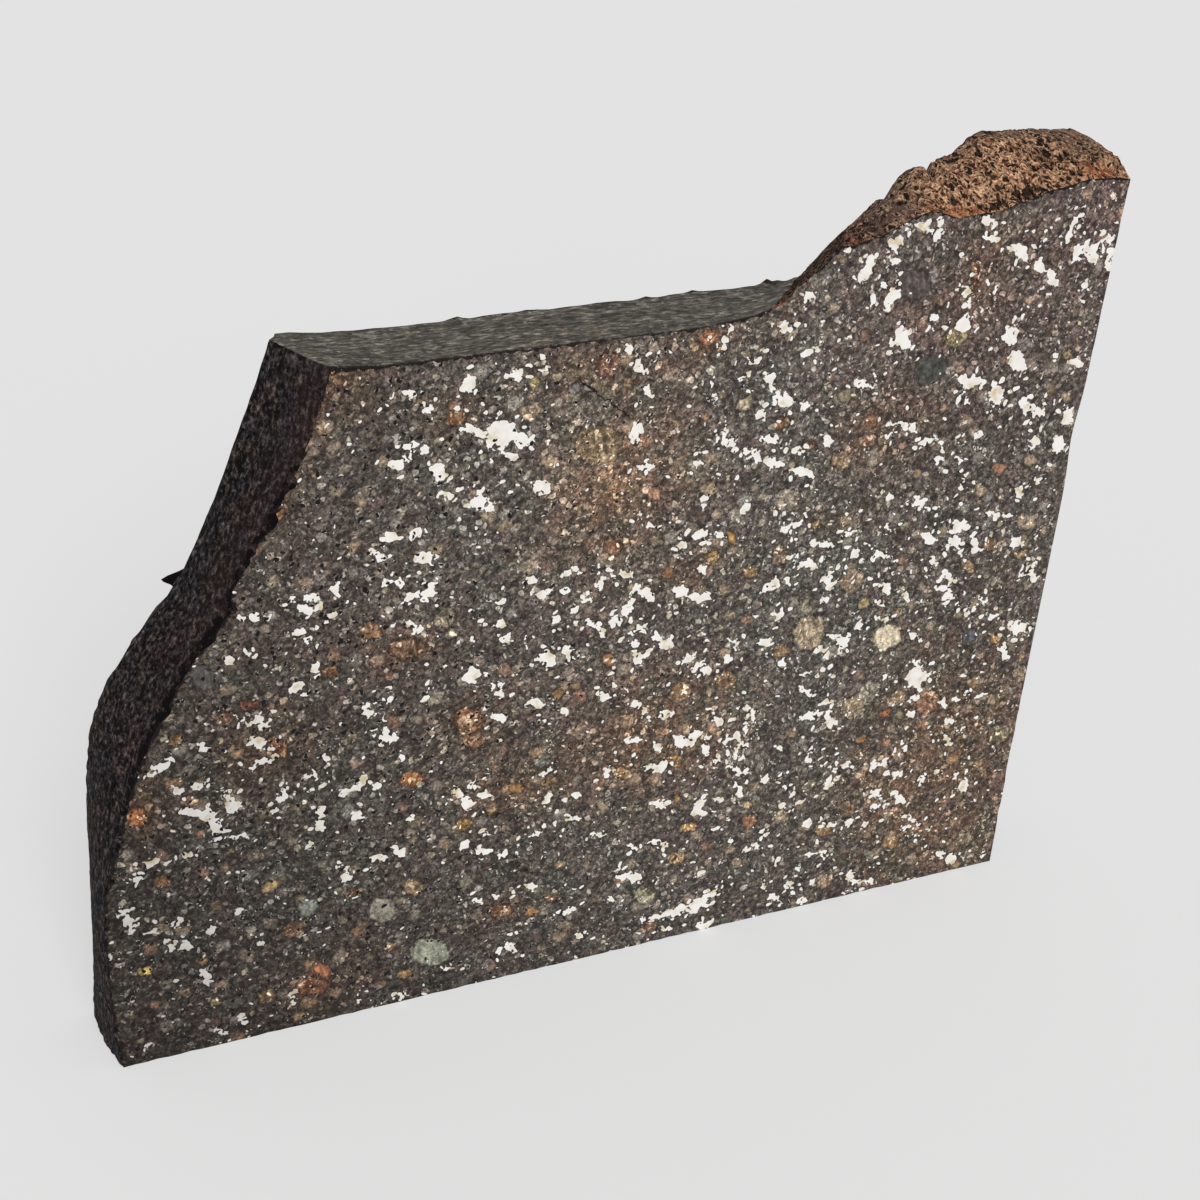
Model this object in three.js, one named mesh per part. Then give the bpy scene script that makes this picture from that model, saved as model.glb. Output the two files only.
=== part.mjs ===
// A sawn slice of a stony meteorite (an ordinary chondrite), standing on its straight saw-cut edge.
// One solid, in millimetres: +X along the base, +Y from the polished face to the back face, +Z up.
// The slice has two flat sawn faces (front and back), three sawn edges (base, right side, top ledge)
// and two natural stretches of the stone's outside: the dark left side and the rusty, pitted crust
// lobe at the top right. A short broken flank joins the lobe to the ledge, where the saw ran out.
import * as THREE from "three";
import { mergeVertices } from "three/addons/utils/BufferGeometryUtils.js";

// ---- driving dimensions ----
const THICKNESS = 4.5;
const BASE_LENGTH = 50;
const LEDGE_HEIGHT = { front: 35.0, back: 34.7 };
const LEDGE_LEFT = { front: 9.0, back: 8.3 };
const LEDGE_RIGHT = { front: 27.0, back: 33.0 };
const CRUST_RIGHT_HEIGHT = { front: 40.25, back: 41.0 };

// Steps of the mesh: through the thickness, and along each stretch of the outline.
const DEPTH_STEPS = 17;
const CRUST_STEPS = 62;
const FLANK_STEPS = 24;
const SIDE_STEPS = 72;

// ---- outline stretches, anticlockwise as seen from the polished face ----
// Each row is one place along a stretch: [x, z] on the front face, then [x, z] on the back face.
const CRUST_LINE = [
  [[BASE_LENGTH, CRUST_RIGHT_HEIGHT.front], [BASE_LENGTH, CRUST_RIGHT_HEIGHT.back]],
  [[48.4, 40.45], [48.6, 41.1]],
  [[46.9, 40.3], [47.2, 41.3]],
  [[45.1, 40.0], [45.7, 41.35]],
  [[43.5, 39.55], [44.3, 41.35]],
  [[42.2, 39.25], [43.1, 41.05]],
  [[40.2, 39.15], [41.9, 40.4]],
  [[38.7, 39.55], [40.6, 39.9]],
  [[37.2, 39.2], [39.6, 39.2]],
  [[35.6, 38.55], [38.6, 38.15]],
  [[34.0, 38.3], [37.2, 36.95]],
];
const FLANK_LINE = [
  [[34.0, 38.3], [37.2, 36.95]],
  [[33.0, 37.4], [36.3, 36.5]],
  [[31.8, 36.6], [35.5, 35.75]],
  [[30.6, 35.65], [34.7, 34.95]],
  [[28.8, 35.15], [33.8, 34.72]],
  [[LEDGE_RIGHT.front, LEDGE_HEIGHT.front], [LEDGE_RIGHT.back, LEDGE_HEIGHT.back]],
];
const SIDE_LINE = [
  [[LEDGE_LEFT.front, LEDGE_HEIGHT.front], [LEDGE_LEFT.back, LEDGE_HEIGHT.back]],
  [[7.9, 31.3], [7.1, 31.5]],
  [[6.4, 27.8], [6.0, 27.9]],
  [[4.6, 24.2], [4.4, 24.0]],
  [[2.2, 20.2], [1.7, 20.4]],
  [[0.8, 16.8], [0.1, 17.2]],
  [[-0.2, 13.2], [-0.3, 13.3]],
  [[-0.8, 9.0], [-0.15, 9.0]],
  [[-0.6, 4.4], [0.0, 4.4]],
  [[0.0, 0.0], [0.1, 0.0]],
];

// ---- relief of the natural surfaces ----
// Lumps and hollows of the crust lobe: centre x, distance behind the front face, radius, height.
const CRUST_LUMPS = [
  { x: 49.3, depth: 1.3, radius: 1.5, height: 0.22 },
  { x: 47.4, depth: 3.3, radius: 1.4, height: 0.18 },
  { x: 45.9, depth: 1.6, radius: 1.1, height: -0.2 },
  { x: 44.2, depth: 3.1, radius: 1.7, height: 0.42 },
  { x: 42.9, depth: 1.2, radius: 1.2, height: 0.2 },
  { x: 41.7, depth: 3.6, radius: 0.7, height: -0.3 },
  { x: 40.4, depth: 2.2, radius: 1.2, height: 0.34 },
  { x: 39.7, depth: 3.9, radius: 0.9, height: 0.2 },
  { x: 38.6, depth: 1.3, radius: 0.8, height: -0.16 },
  { x: 37.3, depth: 2.6, radius: 1.1, height: 0.3 },
  { x: 35.2, depth: 1.4, radius: 1.0, height: 0.2 },
];
const CRUST_CROWN = 0.3;
const CRUST_GRAIN = { size: 1.1, height: 0.16 };
const CRUST_PITS = { spacing: 0.95, radius: 0.36, depth: 0.34 };
const FLANK_STEP = { size: 1.6, height: 0.3 };
// The left side swells a little between the faces. Its back edge is bevelled over the upper half.
const SIDE_SWELL = 0.2;
const SIDE_BEVEL = { width: 0.13, depth: 0.5, fromHeight: 15, fullHeight: 22 };
const SIDE_GRAIN = { size: 2.2, stretch: 2.4, height: 0.16 };
const SIDE_CHIPS = { spacing: 1.9, radius: 0.85, depth: 0.3, reach: 0.9 };

const smooth = (from, to, value) => THREE.MathUtils.smoothstep(value, from, to);

// A repeatable number from 0 to 1 for a lattice point.
function lattice(i, j, k) {
  const wave = Math.sin(i * 127.1 + j * 311.7 + k * 74.7) * 43758.5453;
  return wave - Math.floor(wave);
}

// Soft noise from -1 to 1 over the plane, one lump to each unit square. layer picks another pattern.
function lumps(x, y, layer) {
  const i = Math.floor(x);
  const j = Math.floor(y);
  const across = smooth(0, 1, x - i);
  const along = smooth(0, 1, y - j);
  const near = THREE.MathUtils.lerp(lattice(i, j, layer), lattice(i + 1, j, layer), across);
  const far = THREE.MathUtils.lerp(lattice(i, j + 1, layer), lattice(i + 1, j + 1, layer), across);
  return 2 * THREE.MathUtils.lerp(near, far, along) - 1;
}

// How deep a point lies in the nearest of the round pits strewn over the plane, from 0 to 1.
function pits(x, y, radius, layer) {
  let deepest = 0;
  for (let i = Math.floor(x) - 1; i <= Math.floor(x) + 1; i++) {
    for (let j = Math.floor(y) - 1; j <= Math.floor(y) + 1; j++) {
      const centreX = i + 0.15 + 0.7 * lattice(i, j, layer);
      const centreY = j + 0.15 + 0.7 * lattice(i, j, layer + 1);
      const size = radius * (0.55 + 0.45 * lattice(i, j, layer + 2));
      const away = Math.hypot(x - centreX, y - centreY) / size;
      deepest = Math.max(deepest, 1 - smooth(0.25, 1, away));
    }
  }
  return deepest;
}

// Height of the crust lobe above its smooth form. It moves points straight up.
function crustRelief(x, depth) {
  let height = CRUST_CROWN * Math.sin((Math.PI * depth) / THICKNESS);
  for (const lump of CRUST_LUMPS) {
    const away = Math.hypot(x - lump.x, depth - lump.depth) / lump.radius;
    height += lump.height * Math.exp(-away * away);
  }
  height += CRUST_GRAIN.height * lumps(x / CRUST_GRAIN.size, depth / CRUST_GRAIN.size, 1);
  const { spacing, radius } = CRUST_PITS;
  return height - CRUST_PITS.depth * pits(x / spacing, depth / spacing, radius / spacing, 11);
}

// The broken flank is rough where it leaves the crust and dies out into the flat ledge.
function flankRelief(x, depth, along) {
  const rough = FLANK_STEP.height * lumps(x / FLANK_STEP.size, depth / FLANK_STEP.size, 5);
  const fade = smooth(0, 0.5, along);
  return THREE.MathUtils.lerp(crustRelief(x, depth), rough, fade) * (1 - smooth(0.55, 1, along));
}

// How far the left side stands out from its smooth form. It moves points straight to the left.
function sideRelief(z, depth) {
  const across = depth / THICKNESS;
  let out = SIDE_SWELL * Math.sin(Math.PI * across);
  const bevelled = smooth(SIDE_BEVEL.fromHeight, SIDE_BEVEL.fullHeight, z);
  const toBevel = across < 1 - SIDE_BEVEL.width
    ? across / (1 - SIDE_BEVEL.width)
    : (1 - across) / SIDE_BEVEL.width;
  out += bevelled * SIDE_BEVEL.depth * toBevel * toBevel;
  const { size, stretch, height } = SIDE_GRAIN;
  out += height * lumps(depth / size, z / (size * stretch), 21);
  const { spacing, radius, depth: chipDepth, reach } = SIDE_CHIPS;
  const chip = pits(z / spacing, 0.5, radius / spacing, 31) * (1 - smooth(0, reach, depth));
  return out - chipDepth * chip;
}

// ---- the side band: columns of points from the front face to the back face ----
function column(front, back, move) {
  const points = [];
  for (let j = 0; j <= DEPTH_STEPS; j++) {
    const across = j / DEPTH_STEPS;
    const depth = across * THICKNESS;
    const x = THREE.MathUtils.lerp(front.x, back.x, across);
    const z = THREE.MathUtils.lerp(front.y, back.y, across);
    const [moveX, moveZ] = move(x, z, depth);
    points.push(new THREE.Vector3(x + moveX, depth, z + moveZ));
  }
  return points;
}

// Columns along a natural stretch, from its first place to its last.
function naturalStretch(line, steps, move) {
  const front = new THREE.SplineCurve(line.map(([at]) => new THREE.Vector2(...at)));
  const back = new THREE.SplineCurve(line.map(([, at]) => new THREE.Vector2(...at)));
  const columns = [];
  for (let i = 0; i <= steps; i++) {
    const along = i / steps;
    const shift = (x, z, depth) => move(x, z, depth, along);
    columns.push(column(front.getPoint(along), back.getPoint(along), shift));
  }
  return columns;
}

// All the columns. The three sawn edges are flat: each runs straight from one column to the next,
// the right side from the base's corner, the ledge between flank and side, the base back to the corner.
function outlineColumns() {
  const baseCorner = new THREE.Vector2(BASE_LENGTH, 0);
  return [
    column(baseCorner, baseCorner, () => [0, 0]),
    ...naturalStretch(CRUST_LINE, CRUST_STEPS, (x, z, depth) => [0, crustRelief(x, depth)]),
    ...naturalStretch(FLANK_LINE, FLANK_STEPS, (x, z, depth, along) => [0, flankRelief(x, depth, along)])
      .slice(1),
    ...naturalStretch(SIDE_LINE, SIDE_STEPS, (x, z, depth) => [-sideRelief(z, depth), 0]),
  ];
}

// The closed solid: the band round the edge, and a flat cap on each sawn face.
function sliceGeometry() {
  const columns = outlineColumns();
  const rows = DEPTH_STEPS + 1;
  const positions = columns.flatMap((points) => points.flatMap((point) => point.toArray()));
  const faces = [];
  columns.forEach((points, i) => {
    const here = i * rows;
    const next = ((i + 1) % columns.length) * rows;
    for (let j = 0; j < DEPTH_STEPS; j++) {
      faces.push(here + j, next + j + 1, next + j, here + j, here + j + 1, next + j + 1);
    }
  });
  for (const row of [0, DEPTH_STEPS]) {
    const ring = columns.map((points) => new THREE.Vector2(points[row].x, points[row].z));
    for (const [a, b, c] of THREE.ShapeUtils.triangulateShape(ring, [])) {
      const [first, second, third] = [a, b, c].map((corner) => corner * rows + row);
      faces.push(...(row === 0 ? [first, second, third] : [first, third, second]));
    }
  }
  const geometry = new THREE.BufferGeometry();
  geometry.setAttribute("position", new THREE.Float32BufferAttribute(positions, 3));
  geometry.setIndex(faces);
  return mergeVertices(geometry);
}

const stone = new THREE.MeshStandardMaterial({ color: 0x4a4542, roughness: 0.55, metalness: 0.05 });
const slice = new THREE.Mesh(sliceGeometry(), stone);
slice.name = "chondrite_slice";

// The origin is under the middle of the slice, on the surface it stands on.
slice.geometry.computeBoundingBox();
const middle = slice.geometry.boundingBox.getCenter(new THREE.Vector3());
slice.position.set(-middle.x, -middle.y, -slice.geometry.boundingBox.min.z);

const meteorite = new THREE.Group();
meteorite.add(slice);
export default meteorite;
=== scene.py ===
# %% [markdown]
# # A sawn slice of a chondrite meteorite
# A chondrite is a stone that fell from space: a dark, hard matrix packed with small round grains, the
# chondrules, and flecks of nickel-iron. This one was sawn into a slice and one face was polished, so
# its inside shows like a map. Two stretches of the outline are still the stone's own outside: a
# near-black side on the left and a rusty, pitted lobe at the top right.
# The CAD part gives the size and the main shape. This lesson builds the same slice again with a finer
# skin, and gives each of its surfaces its own material.

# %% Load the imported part
import math

import bpy
import numpy as np
from mathutils import Matrix, Vector, geometry


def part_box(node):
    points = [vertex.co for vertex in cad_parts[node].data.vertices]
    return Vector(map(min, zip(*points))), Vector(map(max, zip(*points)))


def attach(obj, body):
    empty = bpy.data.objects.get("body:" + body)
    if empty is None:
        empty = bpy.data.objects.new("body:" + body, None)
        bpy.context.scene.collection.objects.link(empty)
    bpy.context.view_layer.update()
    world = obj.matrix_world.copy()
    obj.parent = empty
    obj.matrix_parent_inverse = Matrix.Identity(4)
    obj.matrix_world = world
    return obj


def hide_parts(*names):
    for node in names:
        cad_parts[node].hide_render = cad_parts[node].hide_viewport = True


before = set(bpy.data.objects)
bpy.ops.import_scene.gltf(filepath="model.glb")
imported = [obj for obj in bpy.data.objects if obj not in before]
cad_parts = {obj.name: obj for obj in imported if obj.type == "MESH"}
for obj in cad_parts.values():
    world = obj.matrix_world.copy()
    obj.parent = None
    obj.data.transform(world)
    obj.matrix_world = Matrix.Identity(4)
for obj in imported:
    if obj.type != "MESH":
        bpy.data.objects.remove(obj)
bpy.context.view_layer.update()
low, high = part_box("chondrite_slice")
print("CAD box in mm:", [round(v * 1000, 2) for v in (*low, *high)])

# %% [markdown]
# ## The slice's dimensions
# All the numbers below are in millimetres, measured from the lower left corner of the polished face:
# x runs right along the base, depth runs back from the polished face, and z runs up. They repeat the
# CAD part's own values, because the finer skin has to sit on the same outline.
# The outline has three straight sawn edges (base, right side and top ledge). The natural stretches
# between them are lists of places, each with one point on the front face and one on the back face.

# %% Dimensions and outline
MM = 0.001
THICKNESS = 4.5
BASE_LENGTH = 50
CRUST_LINE = [
    ((50, 40.25), (50, 41.0)), ((48.4, 40.45), (48.6, 41.1)), ((46.9, 40.3), (47.2, 41.3)),
    ((45.1, 40.0), (45.7, 41.35)), ((43.5, 39.55), (44.3, 41.35)), ((42.2, 39.25), (43.1, 41.05)),
    ((40.2, 39.15), (41.9, 40.4)), ((38.7, 39.55), (40.6, 39.9)), ((37.2, 39.2), (39.6, 39.2)),
    ((35.6, 38.55), (38.6, 38.15)), ((34.0, 38.3), (37.2, 36.95)),
]
FLANK_LINE = [
    ((34.0, 38.3), (37.2, 36.95)), ((33.0, 37.4), (36.3, 36.5)), ((31.8, 36.6), (35.5, 35.75)),
    ((30.6, 35.65), (34.7, 34.95)), ((28.8, 35.15), (33.8, 34.72)), ((27.0, 35.0), (33.0, 34.7)),
]
SIDE_LINE = [
    ((9.0, 35.0), (8.3, 34.7)), ((7.9, 31.3), (7.1, 31.5)), ((6.4, 27.8), (6.0, 27.9)),
    ((4.6, 24.2), (4.4, 24.0)), ((2.2, 20.2), (1.7, 20.4)), ((0.8, 16.8), (0.1, 17.2)),
    ((-0.2, 13.2), (-0.3, 13.3)), ((-0.8, 9.0), (-0.15, 9.0)), ((-0.6, 4.4), (0.0, 4.4)),
    ((0.0, 0.0), (0.1, 0.0)),
]
# From the slice's own corner to the part's frame: the box is centred, so its right side gives x.
TO_FRAME = Vector((high.x / MM - BASE_LENGTH, -THICKNESS / 2, 0))
print("corner of the polished face, in the part's frame:", [round(v, 3) for v in TO_FRAME])

# %% [markdown]
# ## Rough stone without a random generator
# Broken and weathered stone is uneven at every size. What a random generator gives depends on how
# often it was asked before, so a change in one place would alter all the rest. The relief here comes
# from a fixed formula instead: a "lattice" number for each square of a grid, soft lumps that blend
# between those numbers, and round pits strewn one to a square. NumPy works the formula out for all
# points of the skin at once. The number called layer picks another pattern of the same kind.

# %% Lumps and pits
def smooth(start, end, value):
    t = np.clip((value - start) / (end - start), 0, 1)
    return t * t * (3 - 2 * t)


def lattice(i, j, layer):
    wave = np.sin(i * 127.1 + j * 311.7 + layer * 74.7) * 43758.5453
    return wave - np.floor(wave)


def lumps(x, y, layer):
    """Soft noise from -1 to 1, one lump to each unit square."""
    i, j = np.floor(x), np.floor(y)
    across, along = smooth(0, 1, x - i), smooth(0, 1, y - j)
    near = lattice(i, j, layer) * (1 - across) + lattice(i + 1, j, layer) * across
    far = lattice(i, j + 1, layer) * (1 - across) + lattice(i + 1, j + 1, layer) * across
    return 2 * (near * (1 - along) + far * along) - 1


def pits(x, y, radius, layer):
    """How deep a point lies in the nearest pit, from 0 to 1."""
    deepest = np.zeros(np.broadcast(x, y).shape)
    for step_i in (-1, 0, 1):
        for step_j in (-1, 0, 1):
            i, j = np.floor(x) + step_i, np.floor(y) + step_j
            centre_x = i + 0.15 + 0.7 * lattice(i, j, layer)
            centre_y = j + 0.15 + 0.7 * lattice(i, j, layer + 1)
            size = radius * (0.55 + 0.45 * lattice(i, j, layer + 2))
            away = np.hypot(x - centre_x, y - centre_y) / size
            deepest = np.maximum(deepest, 1 - smooth(0.25, 1, away))
    return deepest


print("lumps at one place:", round(float(lumps(np.array(3.2), np.array(1.7), 1)), 3))

# %% [markdown]
# ## The relief of the crust
# The lobe at the top right is weathered crust. It has a gentle crown, lumps and hollows one to three
# millimetres across, swarms of pores, and between them worm-like ridges a third of a millimetre apart.
# The crown and the lumps are the CAD part's own. The pores are smaller and less regular than the CAD
# part's pits. They and the ridges are moved points and not a bump in the shading, because they show
# against the sky. They only cut inwards, so the skin never leaves the CAD part's box.

# %% Pores and ridges of the crust
PORE_SPACING, PORE_RADIUS, PORE_DEPTH = 0.8, 0.29, 0.3
FINE_PORE_SPACING, FINE_PORE_RADIUS, FINE_PORE_DEPTH = 0.46, 0.17, 0.17
RIDGE_SIZE, RIDGE_HEIGHT = 0.3, 0.07
ALONG_DEPTH = 0.65  # pores and ridges are drawn out from front to back


def crust_pores(x, depth):
    """How deep a point lies in the pores: large ones, out of round and in swarms, and small ones."""
    bend_x, bend_depth = [0.18 * lumps(x / 0.45, depth / 0.45, layer) for layer in (51, 53)]
    swarm = 0.4 + 0.6 * smooth(-0.45, 0.0, lumps(x / 1.7, depth / 1.3, 57))
    bent_x, bent_depth = x + bend_x, ALONG_DEPTH * (depth + bend_depth)
    kinds = (PORE_SPACING, PORE_RADIUS, 11), (FINE_PORE_SPACING, FINE_PORE_RADIUS, 41)
    large, small = [pits(bent_x / spacing, bent_depth / spacing, radius / spacing, layer)
                    for spacing, radius, layer in kinds]
    return swarm * large, small


def crust_ridges(x, depth):
    """The height of the worm-like ridges, from 0 between them to 1 on their tops."""
    bend = 0.35 * lumps(x / 0.7, depth / 0.7, 45)
    return 1 - np.abs(lumps(x / RIDGE_SIZE + bend, ALONG_DEPTH * depth / RIDGE_SIZE - bend, 47))


print("deepest pore of the crust in mm:", PORE_DEPTH + FINE_PORE_DEPTH)

# %% The whole relief of the crust
CROWN = 0.3
CRUST_LUMPS = [  # x, depth, radius, height
    (49.3, 1.3, 1.5, 0.22), (47.4, 3.3, 1.4, 0.18), (45.9, 1.6, 1.1, -0.2), (44.2, 3.1, 1.7, 0.42),
    (42.9, 1.2, 1.2, 0.2), (41.7, 3.6, 0.7, -0.3), (40.4, 2.2, 1.2, 0.34), (39.7, 3.9, 0.9, 0.2),
    (38.6, 1.3, 0.8, -0.16), (37.3, 2.6, 1.1, 0.3), (35.2, 1.4, 1.0, 0.2),
]
CREASE = [(41.2, 4.5), (40.9, 3.9), (40.55, 3.3), (40.3, 2.8), (39.95, 2.0), (39.7, 1.2)]
CREASE_WIDTH, CREASE_DEPTH = 0.17, 0.42


def crust_crease(x, depth):
    """The crease between the two lobes of the crust: 1 in its middle, fading towards the front."""
    nearest = np.full(np.broadcast(x, depth).shape, 9.0)
    for (x0, d0), (x1, d1) in zip(CREASE[:-1], CREASE[1:]):
        run, rise = x1 - x0, d1 - d0
        along = np.clip(((x - x0) * run + (depth - d0) * rise) / (run ** 2 + rise ** 2), 0, 1)
        nearest = np.minimum(nearest, np.hypot(x - x0 - along * run, depth - d0 - along * rise))
    return np.exp(-(nearest / CREASE_WIDTH) ** 2) * smooth(1.0, 3.0, depth)


def crust_form(x, depth):
    """The broad relief, outwards."""
    height = CROWN * np.sin(np.pi * depth / THICKNESS)
    for centre, centre_depth, radius, rise in CRUST_LUMPS:
        height = height + rise * np.exp(-((x - centre) ** 2 + (depth - centre_depth) ** 2) / radius ** 2)
    return height + 0.16 * lumps(x / 1.1, depth / 1.1, 1)


def crust_cuts(x, depth):
    """The fine relief, inwards."""
    large, small = crust_pores(x, depth)
    rough = PORE_DEPTH * large + FINE_PORE_DEPTH * small + RIDGE_HEIGHT * (1 - crust_ridges(x, depth))
    # A smoother skin is left along the back of the large lobe.
    skin_left = smooth(2.9, 3.7, depth + 0.3 * lumps(x / 0.8, depth / 0.8, 49)) * smooth(41.6, 42.6, x)
    near_face = 0.25 + 0.75 * smooth(0, 0.4, depth)
    return rough * near_face * (1 - 0.8 * skin_left) + CREASE_DEPTH * crust_crease(x, depth)


print(len(CRUST_LUMPS), "lumps and hollows on the crust")

# %% [markdown]
# ## The relief of the flank and the left side
# The flank beside the crust broke off roughly, and its foot is sawn flat. The left side swells a
# little and has a bevel along its back edge, faint streaks along its length, a spur and a few bumps on
# the back edge, and small bites out of its front edge where grains broke away under the saw.

# %% Relief of the flank
STEP_SIZE, STEP_HEIGHT = 1.6, 0.3


def flank_form(x, depth, along):
    """The broad relief of the flank. Its share of the crust's relief fades as along goes from 0 to 1."""
    fade = smooth(0, 0.5, along)
    steps = STEP_HEIGHT * lumps(x / STEP_SIZE, depth / STEP_SIZE, 5)
    blend = crust_form(x, depth) * (1 - fade) + steps * fade
    return blend * (1 - smooth(0.5, 0.72, along))


def flank_cuts(x, depth, along):
    fade = smooth(0, 0.5, along)
    broken = 0.16 * np.abs(lumps(x / 0.34, depth / 0.34, 55)) + 0.05
    return (crust_cuts(x, depth) * (1 - fade) + broken * fade) * (1 - smooth(0.56, 0.64, along))


print("the flank is", round(math.dist(FLANK_LINE[0][0], FLANK_LINE[-1][0]), 1), "mm long on the front face")

# %% Relief of the left side
SWELL, BEVEL_DEPTH = 0.2, 0.5
BEVEL_START = 0.87  # share of the thickness at which the bevel begins
SPURS = [  # z, depth, radius, height
    (23.6, 4.5, 0.3, 1.0), (22.1, 4.5, 0.7, 0.2), (27.5, 4.5, 0.9, -0.18), (20.7, 4.4, 0.3, 0.12),
    (18.8, 4.4, 0.35, 0.12),
]


def side_form(z, depth):
    across = depth / THICKNESS
    to_bevel = np.where(across < BEVEL_START, across / BEVEL_START, (1 - across) / (1 - BEVEL_START))
    swell = SWELL * np.sin(np.pi * across) + smooth(15, 22, z) * BEVEL_DEPTH * to_bevel ** 2
    for spur_z, spur_depth, radius, height in SPURS:
        swell = swell + height * np.exp(-((z - spur_z) / radius) ** 2 - ((depth - spur_depth) / 0.3) ** 2)
    return swell + 0.16 * lumps(depth / 2.2, z / 5.28, 21)


def side_cuts(z, depth):
    streaks = 0.05 * np.abs(lumps(depth / 0.24, z / 1.1, 61)) + 0.04 * np.abs(lumps(depth / 0.5, z / 0.6, 63))
    near_front, near_back = 1 - smooth(0, 0.35, depth), smooth(THICKNESS - 0.3, THICKNESS, depth)
    bites = (0.16 * np.abs(lumps(z / 0.42, 0.5, 65)) + 0.3 * pits(z / 1.7, 0.5, 0.42, 67)) * near_front
    return streaks + bites + 0.09 * np.abs(lumps(z / 0.38, 0.5, 69)) * near_back


print("the longest spur stands out", max(row[3] for row in SPURS), "mm")

# %% [markdown]
# ## The band round the edge
# The CAD mesh could be subdivided, but that would round the sawn edges. So the skin is made anew: a
# band that runs once round the outline, closed by a flat cap on each sawn face. The band is a grid,
# with one column of points at each place along the outline, from the front face to the back face. A
# Catmull-Rom curve, which is smooth and passes through every listed place, gives the columns of the
# natural stretches. The three sawn edges are flat, so their columns are spread evenly.

# %% Columns of points
ROWS = 48
DEPTHS = np.linspace(0, THICKNESS, ROWS + 1)


def curve_points(places, count):
    """count + 1 points along a Catmull-Rom curve through the places."""
    p = np.array(places, float)
    t = np.linspace(0, len(p) - 1, count + 1)
    i = np.minimum(t.astype(int), len(p) - 2)
    t = (t - i)[:, None]
    before, here, ahead, after = p[np.maximum(i - 1, 0)], p[i], p[i + 1], p[np.minimum(i + 2, len(p) - 1)]
    leave, arrive = (ahead - before) / 2, (after - here) / 2
    return ((2 * here - 2 * ahead + leave + arrive) * t ** 3
            + (3 * ahead - 3 * here - 2 * leave - arrive) * t ** 2 + leave * t + here)


def stretch(line, count):
    """x and z of the columns along a natural stretch, before their relief."""
    front = curve_points([place[0] for place in line], count)
    back = curve_points([place[1] for place in line], count)
    across = (DEPTHS / THICKNESS)[None, :, None]
    grid = front[:, None, :] * (1 - across) + back[:, None, :] * across
    return grid[..., 0], grid[..., 1]


def between(first, last, count):
    """Columns spread evenly from one column to another, both left out."""
    steps = np.linspace(0, 1, count + 1)[1:-1, None]
    return [first[k] * (1 - steps) + last[k] * steps for k in (0, 1)]


print("columns have", ROWS + 1, "points,", round(THICKNESS / ROWS, 3), "mm apart")

# %% [markdown]
# ## Where the saw met the natural outside
# The line where the polished face meets the crust and the left side is what the eye reads first, so
# it gets more places than the CAD part has. So does the back edge of the crust, which is its skyline.
# The places are listed as pairs and pull only the outermost millimetre or so of the band, which leaves
# the broad form between them alone. CRUST_EDGE is not a list chosen by hand: its places were read by
# eye, and a separate program turned them into millimetres, which stand here as it printed them. Most
# of SIDE_EDGE came the same way, thinned and rounded to a tenth. CRUST_REAR started from such places,
# and then nearly all of them were moved until the skyline fitted.

# %% Places along the edges
CRUST_EDGE = [
    (28.5, 35.19), (29.74, 35.33), (30.38, 35.52), (30.82, 35.75), (31.43, 36.13), (31.83, 36.63),
    (32.34, 36.94), (33.0, 37.4), (33.68, 38.02), (33.9, 38.35), (34.67, 38.28), (35.19, 38.46),
    (35.94, 38.59), (36.45, 38.83), (37.04, 39.1), (37.63, 39.37), (38.33, 39.55), (38.88, 39.58),
    (39.46, 39.41), (40.17, 39.14), (41.0, 39.19), (41.74, 39.25), (42.5, 39.26), (43.04, 39.38),
    (43.48, 39.59), (44.14, 39.66), (44.68, 39.82), (45.12, 40.03), (45.96, 40.13), (46.8, 40.3),
    (47.55, 40.45), (48.35, 40.42), (49.25, 40.39), (50.0, 40.24),
]
CRUST_REAR = [
    (37.0, 37.0), (37.7, 37.65), (38.2, 38.15), (38.6, 38.5), (39.05, 38.5), (39.3, 38.95), (39.6, 39.52),
    (40.0, 39.8), (40.45, 39.98), (41.0, 40.0), (41.3, 40.2), (41.9, 40.35), (42.5, 40.5), (43.0, 40.9),
    (43.15, 41.0), (43.3, 41.22), (43.75, 41.42), (44.15, 41.55), (44.9, 41.45), (45.8, 41.47), (46.9, 41.45),
    (47.9, 41.35), (48.7, 41.28), (49.4, 41.3), (50.0, 41.05),
]
SIDE_EDGE = [  # z, x
    (0.0, 0.0), (3.0, -0.5), (5.5, -0.7), (8.0, -0.8), (10.2, -0.8), (12.3, -0.4), (14.2, 0.0),
    (16.4, 0.6), (17.9, 1.1), (19.2, 1.8), (20.6, 2.4), (22.0, 3.2), (23.5, 4.4), (24.2, 4.8),
    (25.2, 4.9), (26.6, 5.6), (28.4, 6.7), (30.1, 7.4), (31.5, 8.0), (33.4, 8.6), (35.0, 9.0),
]

print("places on the edges:", len(CRUST_EDGE), len(CRUST_REAR), len(SIDE_EDGE))

# %% [markdown]
# ## The natural stretches
# Each stretch is its curve, moved outwards by the broad relief, pulled to the places listed for its
# edges, and cut inwards by the fine relief. The crust and the flank move up and down, the left side
# moves left and right.

# %% The natural stretches, pulled to their edges
def pulled(at, value, edge, rows=1 - smooth(0, 1.0, DEPTHS)):
    """How far the listed edge lies from the broad form's own at each column, on the rows it pulls."""
    places, height = np.array(edge).T
    return (np.interp(at, places, height) - value)[:, None] * rows


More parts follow.
